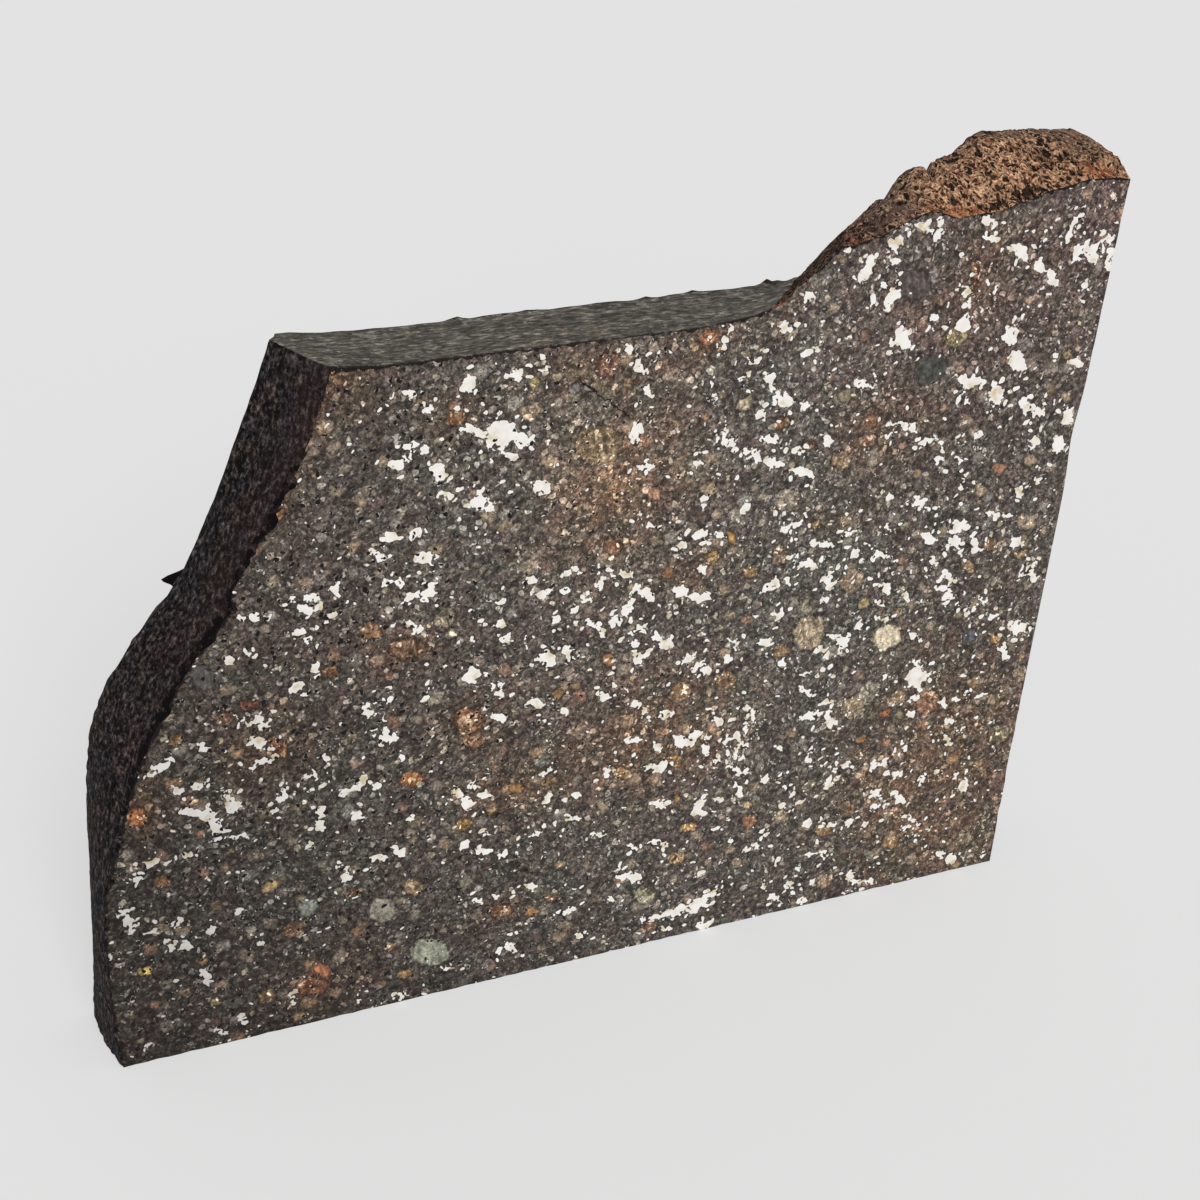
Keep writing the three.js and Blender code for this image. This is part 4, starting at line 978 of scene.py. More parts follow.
crust_tones = np.zeros((len(points), 4))
for channel, places in enumerate((CRUST_ORANGE, CRUST_BLACK, CRUST_PURPLE)):
    crust_tones[:len(band), channel] = cloud(places, band[:, :2])
skin.attributes.new("crust_tone", "FLOAT_COLOR", "POINT").data.foreach_set(
    "color", crust_tones.ravel().astype(np.float32))
print("deepest dirt on the band:", round(float(hollow.max()), 2))

# %% [markdown]
# ## One helper for all shader nodes
# Every material below is a tree of nodes. One small function adds a node, sets its settings by name,
# and gives each input a number, an output of another node, or another node, whose first output is
# then taken. Stone is uneven in every way, so a second function draws a noise and spreads the part of
# its range that is used over the numbers that are wanted.

# %% Adding a node, and adding unevenness
def add(tree, kind, inputs=None, stops=None, **settings):
    node = tree.nodes.new("ShaderNode" + kind)
    for name, value in settings.items():
        setattr(node, name, value)
    for socket, value in (inputs or {}).items():
        if isinstance(value, bpy.types.Node):
            value = value.outputs[0]
        if isinstance(value, bpy.types.NodeSocket):
            tree.links.new(value, node.inputs[socket])
        else:
            node.inputs[socket].default_value = value
    for number, (place, colour) in enumerate(stops or []):
        element = node.color_ramp.elements[number] if number < 2 else node.color_ramp.elements.new(place)
        element.position, element.color = place, linear(colour)
    return node


def uneven(tree, where, scale, detail, roughness, reads, gives, **settings):
    """Noise with scale bumps to a millimetre. The range that reads names is spread over gives."""
    noise = add(tree, "TexNoise", {"Vector": where, "Scale": scale, "Detail": detail, "Roughness": roughness})
    return add(tree, "MapRange", {"Value": noise, "From Min": reads[0], "From Max": reads[1],
                                  "To Min": gives[0], "To Max": gives[1]}, **settings)


print("nodes are added with add(tree, kind, inputs, stops, settings)")

# %% [markdown]
# ## The inside of the stone
# The same mineral mix runs through the whole slice, so it is drawn in space, not on the faces: the
# saw cut through it wherever it went. One node group draws it, and the polished and sawn materials
# share it. Its measure is the millimetre.
# The grains were squeezed flat and lean down to the right. So two more copies of the space are turned
# by 35 degrees and stretched along that line, one more than the other, and grains are drawn in them.

# %% The space that the patterns lie in
LEAN = math.radians(35)
inside = bpy.data.node_groups.new("chondrite_inside", "ShaderNodeTree")
for name, kind in (("Colour", "NodeSocketColor"), ("Metal", "NodeSocketFloat")):
    inside.interface.new_socket(name=name, in_out="OUTPUT", socket_type=kind)

place = add(inside, "TexCoord")
mm = add(inside, "VectorMath", {0: place.outputs["Object"], "Scale": 1 / MM}, operation="SCALE")
# A wobble of a tenth of a millimetre keeps the rounds from being perfect circles.
wobble = add(inside, "TexNoise", {"Vector": mm, "Scale": 3.2, "Detail": 2.0})
centred = add(inside, "VectorMath", {0: wobble.outputs["Color"], 1: (0.5, 0.5, 0.5)}, operation="SUBTRACT")
shift = add(inside, "VectorMath", {0: centred, "Scale": 0.4}, operation="SCALE")
bent = add(inside, "VectorMath", {0: mm, 1: shift}, operation="ADD")
leaning, mild = [
    add(inside, "Mapping", {"Vector": bent, "Rotation": (0, LEAN, 0), "Scale": (stretched, 1, 1)},
        vector_type="TEXTURE") for stretched in (1.6, 1.2)]
# Small grains keep their shape better if they are bent less.
less_shift = add(inside, "VectorMath", {0: shift, "Scale": 0.4}, operation="SCALE")
gentle = add(inside, "VectorMath", {0: mm, 1: less_shift}, operation="ADD")
MARKS = "tone", "dark", "shade", "metal_deep", "metal_near", "chondrule_deep", "chondrule_shade"
marks = {name: add(inside, "Attribute", attribute_name=name) for name in MARKS}
on_face = marks["tone"].outputs["Alpha"]
off_face = add(inside, "Math", {0: 1.0, 1: on_face}, operation="SUBTRACT")
print("millimetres across one wobble:", round(1 / 3.2, 2))

# %% [markdown]
# ### The matrix
# Between the chondrules lies a dark dust of crushed grains, too fine for the eye. What shows is a soft
# mottling a quarter of a millimetre across and a fine grit over it. The grit is drawn at 0.1 mm,
# coarser than the real dust, so that it shows. Its hue wanders a little, between a greenish and a
# purplish grey, over about a millimetre.

# %% Mottled matrix
mottle = add(inside, "TexNoise", {"Vector": bent, "Scale": 4.2, "Detail": 3.0, "Roughness": 0.6,
                                  "Distortion": 0.5})
matrix = add(inside, "ValToRGB", {"Fac": mottle}, stops=[
    (0.34, "2b2622"), (0.43, "3b3530"), (0.5, "4a433d"), (0.58, "5f574f"), (0.68, "7b7268"),
    (0.78, "a0978b")])
grit_gain = uneven(inside, mm, 10.0, 2.0, 0.7, (0.3, 0.7), (0.42, 1.7))
dust = add(inside, "VectorMath", {0: matrix, "Scale": grit_gain}, operation="SCALE")
hue_place = uneven(inside, mild, 0.8, 1.5, 0.5, (0.4, 0.6), (0, 1))
hue_tint = add(inside, "Mix", {0: hue_place, 6: (0.95, 1.02, 1.0, 1), 7: (1.06, 0.98, 1.0, 1)},
               data_type="RGBA")
hued = add(inside, "Mix", {0: 1.0, 6: dust, 7: hue_tint.outputs[2]}, data_type="RGBA",
           blend_type="MULTIPLY").outputs[2]
# The mottling and the grit, as one gain, give the larger grains a granular inside.
granule = add(inside, "MapRange", {"Value": mottle, "From Min": 0.35, "From Max": 0.65, "To Min": 0.5,
                                   "To Max": 1.6})
texture = add(inside, "Math", {0: granule, 1: grit_gain}, operation="MULTIPLY")
print("mottling in mm:", round(1 / 4.2, 2))

# %% [markdown]
# ### Grains and chondrules
# Grains come in populations: each is a field of egg-shaped bodies, one to a cell, turned at random,
# with its own range of sizes and colours, and the cut through each one shows as a round or an oval.
# The populations run from chondrules of up to 2 mm down to specks of a tenth of a millimetre. The
# large ones melt softly into the matrix, the small ones are crisp, and each sits in a thin dark rim.

# %% One population of grains
def grains(tree, where, spacing, sizes, share, longer):
    """How deep in mm a place lies in the nearest grain, and that grain's random number."""
    cell = add(tree, "TexVoronoi", {"Vector": where, "Scale": 1 / spacing})
    luck = add(tree, "SeparateColor", {"Color": cell.outputs["Color"]})
    offset = add(tree, "VectorMath", {0: where, 1: cell.outputs["Position"]}, operation="SUBTRACT")
    angle = add(tree, "Math", {0: luck.outputs[1], 1: math.tau}, operation="MULTIPLY")
    turned = add(tree, "VectorRotate", {"Vector": offset, "Angle": angle}, rotation_type="Y_AXIS")
    slimmed = add(tree, "VectorMath", {0: turned, 1: (1, 1, longer)}, operation="MULTIPLY")
    away = add(tree, "VectorMath", {0: slimmed}, operation="LENGTH")
    radius = add(tree, "MapRange", {"Value": luck, "To Min": sizes[0], "To Max": sizes[1]})
    present = add(tree, "Math", {0: luck.outputs[2], 1: share}, operation="LESS_THAN")
    reach = add(tree, "Math", {0: radius, 1: present}, operation="MULTIPLY")
    depth = add(tree, "Math", {0: reach, 1: away.outputs["Value"]}, operation="SUBTRACT")
    return depth, luck.outputs[1]


print("a grain's random number picks its size, its turn and whether it is there")

# %% Painting a population
RIM_COLOUR = "1b1715"


def paint(tree, before, depth, shade, edge, strength, rim_strength):
    """Lays a population over the colours before: a thin dark rim, then the grain's own colour."""
    # The rim is a twentieth of a millimetre wide.
    rim = add(tree, "MapRange", {"Value": depth, "From Min": -0.045, "From Max": -0.005,
                                 "To Max": rim_strength})
    body = add(tree, "MapRange", {"Value": depth, "From Max": edge, "To Max": strength})
    # A Mix node for colours takes its two colours at inputs 6 and 7 and gives the result at output 2.
    rimmed = add(tree, "Mix", {0: rim, 6: before, 7: linear(RIM_COLOUR)}, data_type="RGBA")
    return add(tree, "Mix", {0: body, 6: rimmed.outputs[2], 7: shade}, data_type="RGBA").outputs[2]


print("each grain sits in a rim of the colour", RIM_COLOUR)

# %% [markdown]
# ### The populations
# Three sizes of grain are laid over the dust, the largest first. The largest of all, the size of the
# listed chondrules, is drawn only where none are listed. Towards the darker lower left, which is partly
# painted shade, the dust between the grains darkens most, the grains less, and the splinters least.

# %% Three populations on the polished face, one off it
# How far each part darkens in the darker lower left, which is partly painted shade.
dust_light, grain_light, splinter_light = [
    add(inside, "MapRange", {"Value": marks["dark"].outputs["Fac"], "To Min": 1.0, "To Max": least})
    for least in (-0.05, 0.25, 0.45)]
grain_gain = add(inside, "Math", {0: texture, 1: grain_light}, operation="MULTIPLY")
# Distance from grain to grain, smallest and largest radius, share of cells with a grain, length to
# width, softness of the edge, strength of the colour and of the rim, then the colours.
POPULATIONS = [
    (1.0, (0.17, 0.5), 0.75, 1.15, 0.17, 0.7, 0.35,
     [(0.0, "403c39"), (0.2, "6b665f"), (0.42, "8a7e70"), (0.6, "927f66"), (0.8, "85827b"),
      (1.0, "926f57")]),
    (0.52, (0.09, 0.23), 0.6, 1.3, 0.05, 0.82, 0.55,
     [(0.0, "5a5651"), (0.3, "7e7973"), (0.55, "9c948b"), (0.75, "928573"), (0.88, "b6aea0"),
      (1.0, "cec6b9")]),
    (0.34, (0.06, 0.15), 0.8, 1.4, 0.05, 0.75, 0.4, [(0.0, "585551"), (0.5, "807c77"), (1.0, "a5a098")]),
]
stones = add(inside, "VectorMath", {0: hued, "Scale": dust_light}, operation="SCALE")
for spacing, sizes, share, longer, edge, strength, rim_strength, stops in POPULATIONS:
    depth, luck = grains(inside, mild, spacing, sizes, share, longer)
    shade = add(inside, "ValToRGB", {"Fac": luck}, stops=stops)
    grainy = add(inside, "VectorMath", {0: shade, "Scale": grain_gain}, operation="SCALE")
    stones = paint(inside, stones, depth, grainy, edge, strength, rim_strength)
# The largest population stays off the polished face, whose large chondrules are listed one by one.
HIDDEN_SPACING = 2.4
depth, luck = grains(inside, mild, HIDDEN_SPACING, (0.4, 0.95), 0.6, 1.2)
shade = add(inside, "ValToRGB", {"Fac": luck}, stops=POPULATIONS[0][7])
grainy = add(inside, "VectorMath", {0: shade, "Scale": texture}, operation="SCALE")
hidden = paint(inside, stones, depth, grainy, 0.1, 0.7, 0.4)
grained = add(inside, "Mix", {0: on_face, 6: hidden, 7: stones}, data_type="RGBA").outputs[2]
print("from grain to grain in mm:", [row[0] for row in POPULATIONS], "and", HIDDEN_SPACING)

# %% [markdown]
# ### Splinters
# Broken crystals lie between the grains: pale, thin and neutral in colour. They are one more
# population, drawn more than twice as long as wide. The purplish patches of the matrix have fewer of
# them, so they look smoother.

# %% Splinters between the grains
SPLINTER_SPACING = 0.36
splinter, luck = grains(inside, gentle, SPLINTER_SPACING, (0.08, 0.21), 0.8, 2.4)
smoother = add(inside, "Math", {0: hue_place, 1: 0.06}, operation="MULTIPLY")
splinter_here = add(inside, "Math", {0: splinter, 1: smoother}, operation="SUBTRACT")
pale = add(inside, "ValToRGB", {"Fac": luck}, stops=[(0.0, "726d67"), (0.5, "968f87"), (1.0, "cac3b9")])
pale_gain = add(inside, "Math", {0: grit_gain, 1: splinter_light}, operation="MULTIPLY")
pale_shown = add(inside, "VectorMath", {0: pale, "Scale": pale_gain}, operation="SCALE")
specked = paint(inside, grained, splinter_here, pale_shown, 0.05, 0.8, 0.35)
print("splinters: one to each", SPLINTER_SPACING, "mm")

# %% [markdown]
# ### Tones
# The clouds of tone multiply the grains' own colours, as a stain does, and noise breaks up the rust.
# The same noise makes the stone lighter and darker in patches of a millimetre, and the stored shade
# does so over larger parts of the face. Off the polished face the rust comes from slow noise.

# %% Tones of the stone
tone = add(inside, "SeparateColor", {"Color": marks["tone"].outputs["Color"]})
slow_rust = uneven(inside, mm, 0.22, 3.0, 0.5, (0.5, 0.66), (0, 1))
hidden_rust = add(inside, "Math", {0: slow_rust, 1: off_face}, operation="MULTIPLY")
rust = add(inside, "Math", {0: tone, 1: hidden_rust}, operation="ADD")
patchy = add(inside, "TexNoise", {"Vector": mild, "Scale": 1.1, "Detail": 4.0, "Roughness": 0.65})
patches = add(inside, "MapRange", {"Value": patchy, "From Min": 0.34, "From Max": 0.62, "To Min": 0.2})
rust_here = add(inside, "Math", {0: rust, 1: patches}, operation="MULTIPLY")

COOL_GAIN, PURPLE_GAIN, RUST_GAIN = (0.91, 1.0, 1.01, 1), (1.12, 0.95, 0.96, 1), (1.53, 1.1, 0.77, 1)
toned = specked
for amount, gain in ((tone.outputs[2], COOL_GAIN), (tone.outputs[1], PURPLE_GAIN), (rust_here, RUST_GAIN)):
    toned = add(inside, "Mix", {0: amount, 6: toned, 7: gain}, data_type="RGBA",
                blend_type="MULTIPLY").outputs[2]
patch_gain = add(inside, "MapRange", {"Value": patchy, "From Min": 0.3, "From Max": 0.7, "To Min": 0.7,
                                      "To Max": 1.34})
shaded = add(inside, "Math", {0: patch_gain, 1: marks["shade"].outputs["Fac"]}, operation="MULTIPLY")
patched = add(inside, "VectorMath", {0: toned, "Scale": shaded}, operation="SCALE")
print("rust multiplies red, green and blue by", RUST_GAIN[:3])

# %% [markdown]
# ### The listed chondrules
# They lie over the smaller grains, where the mesh stores them, and noise roughens their edges. A plain
# one is nearly smooth. A granular one is made of the same splinters as the matrix, in its own colour.
# Bars of crystal grew through a chondrule as it cooled, and show as a faint striping.

# %% Edge of the listed chondrules, and their two kinds
edge_shift = uneven(inside, bent, 2.6, 4.0, 0.6, (0.25, 0.75), (-0.15, 0.17))
edge = add(inside, "Math", {0: marks["chondrule_deep"].outputs["Fac"], 1: edge_shift}, operation="ADD")
granular = marks["chondrule_shade"].outputs["Alpha"]
own = marks["chondrule_shade"].outputs["Color"]
# A plain chondrule hides the matrix: its own colour, with a little of the grain.
half = add(inside, "MapRange", {"Value": texture, "To Min": 0.4, "To Max": 1.0}, clamp=False)
plain = add(inside, "VectorMath", {0: own, "Scale": half}, operation="SCALE")
# The matrix reflects less than a tenth of the light, so its brightness is raised before a granular
# chondrule takes it as a gain.
matrix_grey = add(inside, "RGBToBW", {"Color": specked})
raised = add(inside, "MapRange", {"Value": marks["dark"].outputs["Fac"], "To Min": 14.5, "To Max": 24.0})
brighter = add(inside, "Math", {0: matrix_grey, 1: raised}, operation="MULTIPLY")
# Its brightest splinters are tan, whatever its colour.
tan_part = add(inside, "MapRange", {"Value": brighter, "From Min": 0.9, "From Max": 2.4, "To Max": 0.75})
own_or_tan = add(inside, "Mix", {0: tan_part, 6: own, 7: linear("7a6f5e")}, data_type="RGBA")
splintery = add(inside, "VectorMath", {0: own_or_tan.outputs[2], "Scale": brighter}, operation="SCALE")
body_part = add(inside, "Math", {0: granular, 1: 0.7}, operation="MULTIPLY")
body = add(inside, "Mix", {0: body_part, 6: plain, 7: splintery}, data_type="RGBA")
print("listed chondrules:", len(CHONDRULES))

# %% Bars of crystal in them
BAR_SPACING = 0.25
barred = add(inside, "Mapping", {"Vector": bent, "Rotation": (0, 2 * LEAN, 0), "Scale": (3, 1, 1)},
             vector_type="TEXTURE")
bar_gain = uneven(inside, barred, 1 / BAR_SPACING, 1.0, 0.5, (0.35, 0.65), (0.62, 1.45))
bodies = add(inside, "VectorMath", {0: body.outputs[2], "Scale": bar_gain}, operation="SCALE")
stone_colour = paint(inside, patched, edge, bodies, 0.14, 0.92, 0.65)
print("bars in mm:", BAR_SPACING)

# %% [markdown]
# ### Metal
# The large grains of metal follow the stored depth, with a noise edge as ragged as the real ones.
# Finer flecks are one more population: small ovals, more and larger near the large grains, and smaller
# in the darker lower left, which is partly painted shade. Away from the polished face a coarser noise
# stands in for the listed grains.

# %% Metal flecks
FLECK_SPACING = 0.5
ragged_shift = uneven(inside, mild, 2.5, 1.0, 0.5, (0.25, 0.75), (-0.225, 0.215))
large_depth = add(inside, "Math", {0: marks["metal_deep"].outputs["Fac"], 1: ragged_shift}, operation="ADD")
near = marks["metal_near"].outputs["Fac"]
fleck_share = add(inside, "MapRange", {"Value": near, "From Max": 0.7, "To Min": 0.3, "To Max": 0.6})
fleck_size = add(inside, "MapRange", {"Value": near, "From Max": 0.7, "To Min": 0.15, "To Max": 0.28})
fleck, _ = grains(inside, gentle, FLECK_SPACING, (0.09, fleck_size), fleck_share, 1.7)
# Flecks are smaller in the darker lower left, which is partly painted shade.
smaller = add(inside, "Math", {0: marks["dark"].outputs["Fac"], 1: 0.08}, operation="MULTIPLY")
fleck_depth = add(inside, "Math", {0: fleck, 1: smaller}, operation="SUBTRACT")
either_depth = add(inside, "Math", {0: large_depth, 1: fleck_depth}, operation="MAXIMUM")
# A finer noise bites up to 0.07 mm into every outline, so that no fleck is a clean oval.
bite_shift = uneven(inside, mm, 4.5, 0.0, 0.5, (0.25, 0.75), (-0.07, 0.05))
face_depth = add(inside, "Math", {0: either_depth, 1: bite_shift}, operation="ADD")
print("flecks: one to each", FLECK_SPACING, "mm at most")

# %% Metal off the polished face, and the outcome
hidden_cut = uneven(inside, leaning, 0.95, 3.0, 0.6, (0.64, 0.65), (0, 1))
hidden_metal = add(inside, "Math", {0: hidden_cut, 1: off_face}, operation="MULTIPLY")
sharp_cut = add(inside, "MapRange", {"Value": face_depth, "From Max": 0.02})
metal = add(inside, "Math", {0: sharp_cut, 1: hidden_metal}, operation="MAXIMUM")
shadow_line = add(inside, "MapRange", {"Value": face_depth, "From Min": -0.06, "From Max": -0.01,
                                       "To Max": 0.55})
print("metal is drawn on", len(METAL), "listed grains and as flecks between them")

# %% [markdown]
# ### Pores and the hairline crack
# Pores are tiny black rounds where a grain fell out or the stone never closed, and there are more of
# them towards the left. One hairline crack runs down from the ledge. It is thinner than the points of
# the mesh lie apart, so it is drawn as a line in space: a copy of the space is turned until its x axis
# runs along the crack, and whatever lies close to that axis is dark.

# %% Pores
PORES_APART = 0.36
pore_depth, _ = grains(inside, bent, PORES_APART, (0.04, 0.135), 0.62, 1.3)
across = add(inside, "SeparateXYZ", {"Vector": mm})
rarer = add(inside, "MapRange", {"Value": across, "From Min": -12.0, "From Max": 8.0, "To Min": -0.015,
                                 "To Max": 0.045})
pore_here = add(inside, "Math", {0: pore_depth, 1: rarer}, operation="SUBTRACT")
pore = add(inside, "MapRange", {"Value": pore_here, "From Max": 0.02})
print("pores: one to each", PORES_APART, "mm at most")

# %% The hairline crack
CRACK_FROM, CRACK_TO = Vector((21.0, 0, 33.2)) + TO_FRAME, Vector((23.8, 0, 31.0)) + TO_FRAME
crack_turn = math.atan2(CRACK_FROM.z - CRACK_TO.z, CRACK_TO.x - CRACK_FROM.x)
along_crack = add(inside, "Mapping", {"Vector": bent, "Location": CRACK_FROM, "Rotation": (0, crack_turn, 0)},
                  vector_type="TEXTURE")
crack_at = add(inside, "SeparateXYZ", {"Vector": along_crack})
aside = add(inside, "Math", {0: crack_at.outputs[2]}, operation="ABSOLUTE")
narrow = add(inside, "MapRange", {"Value": aside, "From Min": 0.05, "From Max": 0.02})
crack_length = (CRACK_TO - CRACK_FROM).length
before_end = add(inside, "Math", {0: crack_at, 1: crack_length}, operation="LESS_THAN")
after_start = add(inside, "Math", {0: crack_at, 1: 0.0}, operation="GREATER_THAN")
crack = narrow
for limit in (before_end, after_start, on_face):
    crack = add(inside, "Math", {0: crack, 1: limit}, operation="MULTIPLY")
gaps = add(inside, "Math", {0: pore, 1: crack}, operation="MAXIMUM")
print("crack:", round(crack_length, 1), "mm long")

# %% [markdown]
# ### All together
# From below to above: the stone, a thin dark line round each grain of metal, the pores and the crack,
# and the metal itself, whose colour runs from yellowish to nearly white; the near white is partly a
# painted highlight. Besides the colour the group gives the share of metal, which the materials turn
# into shine.

# %% Result of the group
outlined = add(inside, "Mix", {0: shadow_line, 6: stone_colour, 7: linear(RIM_COLOUR)}, data_type="RGBA")
holed = add(inside, "Mix", {0: gaps, 6: outlined.outputs[2], 7: linear("0e0b0a")}, data_type="RGBA")
whole = add(inside, "Math", {0: 1.0, 1: gaps}, operation="SUBTRACT")
metal_left = add(inside, "Math", {0: metal, 1: whole}, operation="MULTIPLY")
sheen = add(inside, "TexNoise", {"Vector": mm, "Scale": 1.4, "Detail": 2.0})
# The near white is partly a painted highlight: a share of it shows as plain colour, not as metal.
metal_colour = add(inside, "ValToRGB", {"Fac": sheen},
                   stops=[(0.3, "d9c9a4"), (0.42, "efe9df"), (0.6, "f7f4ee")])
# The metal is dulled in the darker lower left, which is partly painted shade.
duller = add(inside, "MapRange", {"Value": marks["dark"].outputs["Fac"], "From Min": 0.2, "From Max": 0.62,
                                  "To Min": 1.0, "To Max": 0.64})
metal_shown = add(inside, "VectorMath", {0: metal_colour, "Scale": duller}, operation="SCALE")
finished = add(inside, "Mix", {0: metal_left, 6: holed.outputs[2], 7: metal_shown}, data_type="RGBA")
result = inside.nodes.new("NodeGroupOutput")
inside.links.new(finished.outputs[2], result.inputs["Colour"])
inside.links.new(metal_left.outputs[0], result.inputs["Metal"])
print("group", inside.name, "has", len(inside.nodes), "nodes")

# %% [markdown]
# ## What the materials share
# Every material starts from an empty tree and ends in a Principled surface. The polished, the sawn and
# the dark stone take their dirt and some painted shade from one function: dark where a stored number is
# high, with an edge that noise makes ragged, because dirt creeps along the grain of the stone. Along
# the ledge's back rim the dark is partly painted shade.

# %% Starting and ending a material
def new_material(name):
    material = bpy.data.materials.new(name)
    material.use_nodes = True
    material.node_tree.nodes.clear()
    return material, material.node_tree


def finish_material(tree, inputs):
    surface = add(tree, "BsdfPrincipled", inputs)
    add(tree, "OutputMaterial", {"Surface": surface})


def stone_inside(tree):
    group = add(tree, "Group", node_tree=inside)
    return group.outputs["Colour"], group.outputs["Metal"]


def millimetres(tree):
    place = add(tree, "TexCoord")
    return add(tree, "VectorMath", {0: place.outputs["Object"], "Scale": 1 / MM}, operation="SCALE")


print("a material's patterns are measured in mm")

# %% Dirt and painted shade with a ragged edge
def ragged_dirt_and_shade(tree, clean, name, shade, noise_scale, spread, start, end):
    """Dark where a stored number is high, with a ragged edge; along back rims it is partly painted shade."""
    stored = add(tree, "Attribute", attribute_name=name)
    ragged = uneven(tree, millimetres(tree), noise_scale, 3.0, 0.7, (0.3, 0.7), (-spread, spread),
                    clamp=False)
    level = add(tree, "Math", {0: stored.outputs["Fac"], 1: ragged}, operation="ADD")
    dirt = add(tree, "MapRange", {"Value": level, "From Min": start, "From Max": end})
    return add(tree, "Mix", {0: dirt, 6: clean, 7: linear(shade)}, data_type="RGBA").outputs[2], dirt


print("dirt follows the stored numbers edge_darkening and hollow")

# %% [markdown]
# ## Polished stone
# The front was ground flat and polished with fine grit, then left unoiled: the silicate matrix is
# smooth but not glassy, so its highlight is soft and weak, and the nickel-iron flecks flash nearly
# white. Only six tenths of the metal is metallic; the other four tenths show its near-white colour as
# plain colour, a painted highlight. The index of refraction is that of olivine and pyroxene, about
# 1.65. The polish left metal and silicate flush to a few microns, so this surface has no bumps at all.

# %% Polished chondrite
polished, tree = new_material("polished_chondrite")
colour, metal = stone_inside(tree)
colour, broken = ragged_dirt_and_shade(tree, colour, "edge_darkening", "120b09", 3.0, 0.45, 0.5, 0.62)
unbroken = add(tree, "Math", {0: 1.0, 1: broken}, operation="SUBTRACT")
metal = add(tree, "Math", {0: metal, 1: unbroken}, operation="MULTIPLY")
gloss = add(tree, "MapRange", {"Value": metal, "To Min": 0.55, "To Max": 0.42})
# Only six tenths metallic: the other four tenths show the near-white colour as a painted highlight.
metallic = add(tree, "Math", {0: metal, 1: 0.6}, operation="MULTIPLY")
finish_material(tree, {"Base Color": colour, "Metallic": metallic, "Roughness": gloss,
                       "IOR": 1.65, "Specular IOR Level": 0.1})
print("made", polished.name)

# %% [markdown]
# ## Sawn stone
# The back, the right side, the base and the ledge are as the diamond saw left them: the same stone,
# but matt, because the cut is covered in fine scratches that run along the cut and scatter the light.
# They are too fine for the mesh, so they are drawn as colour and as a bump in the shading, about a
# fifth of a millimetre apart, which is coarser than the real ones, so that they show. A dark brown
# runs along the ledge's two long edges, where the mesh stores it; along the back edge it is partly
# painted shade of the edge turning away from the light.

# %% Powder on the sawn stone
sawn, tree = new_material("sawn_chondrite")
colour, metal = stone_inside(tree)
mm = millimetres(tree)
along_cut = add(tree, "Mapping", {"Vector": mm, "Scale": (1.7, 4.5, 4.5)})
scratches = add(tree, "TexNoise", {"Vector": along_cut, "Scale": 1.0, "Detail": 4.0, "Roughness": 0.7,
                                   "Distortion": 0.5})
powder = add(tree, "ValToRGB", {"Fac": scratches},
             stops=[(0.33, "1b1917"), (0.43, "35332e"), (0.51, "4d4a43"), (0.59, "706b60"), (0.7, "a9a292")])
# The ledge is evenly dusty. The back and the right side were wiped, and the grains show through there.
direction = add(tree, "TexCoord")
facing = add(tree, "SeparateXYZ", {"Vector": direction.outputs["Normal"]})
ledge_share = add(tree, "MapRange", {"Value": facing.outputs[2], "From Min": 0.5, "From Max": 0.8,
                                     "To Max": 0.85})
wiped_share = uneven(tree, mm, 0.25, 3.0, 0.5, (0.35, 0.65), (0.4, 0.8))
share = add(tree, "Math", {0: ledge_share, 1: wiped_share}, operation="MAXIMUM")
dusty = add(tree, "Mix", {0: share, 6: colour, 7: powder}, data_type="RGBA")
print("made the powder of", sawn.name)

# %% Blade lines, dirt and painted shade on the sawn stone
# Long faint lines where the blade wandered.
blade = add(tree, "Mapping", {"Vector": mm, "Scale": (0.03, 0.6, 1.3)})
line_gain = uneven(tree, blade, 1.0, 4.0, 0.6, (0.35, 0.65), (0.8, 1.2))
dusty = add(tree, "VectorMath", {0: dusty.outputs[2], "Scale": line_gain}, operation="SCALE")
# Dark along the ledge's edges; along its back rim this is partly painted shade.
dirty, _ = ragged_dirt_and_shade(tree, dusty, "hollow", "1c120d", 2.6, 0.4, 0.42, 0.55)
dulled = add(tree, "Math", {0: metal, 1: 0.25}, operation="MULTIPLY")
relief = add(tree, "Bump", {"Height": scratches, "Strength": 0.6, "Distance": 0.05 * MM})
finish_material(tree, {"Base Color": dirty, "Metallic": dulled, "Roughness": 0.75,
                       "IOR": 1.65, "Specular IOR Level": 0.15, "Normal": relief})
print("made", sawn.name)

# %% [markdown]
# ## The dark natural side
# The left side is old, weathered outside: nearly black, with a faint purple-brown bloom towards the
# polished face, fine streaks along its length, and a paler strip on the bevel at the back edge. It is
# matt, like unglazed ceramic, so it is rough and gives only a weak highlight. The streaks of the mesh
# give its outline, and the finer ones are noise, drawn out along the side.

# %% Streaks and hue of the weathered dark stone
dark_side, tree = new_material("weathered_dark_stone")
mm = millimetres(tree)
at = add(tree, "SeparateXYZ", {"Vector": mm})
lengthwise = add(tree, "Mapping", {"Vector": mm, "Scale": (4.5, 4.5, 1.8)})
streaks = add(tree, "TexNoise", {"Vector": lengthwise, "Scale": 1.0, "Detail": 3.5, "Roughness": 0.7})
grit = add(tree, "TexNoise", {"Vector": mm, "Scale": 4.5, "Detail": 2.5, "Roughness": 0.65})
mixed = add(tree, "Mix", {0: 0.5, 2: streaks, 3: grit})
stone = add(tree, "ValToRGB", {"Fac": mixed}, stops=[
    (0.41, "020202"), (0.46, "0e0c0c"), (0.5, "201c1c"), (0.55, "353030"), (0.61, "524c49"), (0.7, "7b736b")])
cast_place = uneven(tree, mm, 0.7, 3.0, 0.5, (0.4, 0.6), (0, 1))
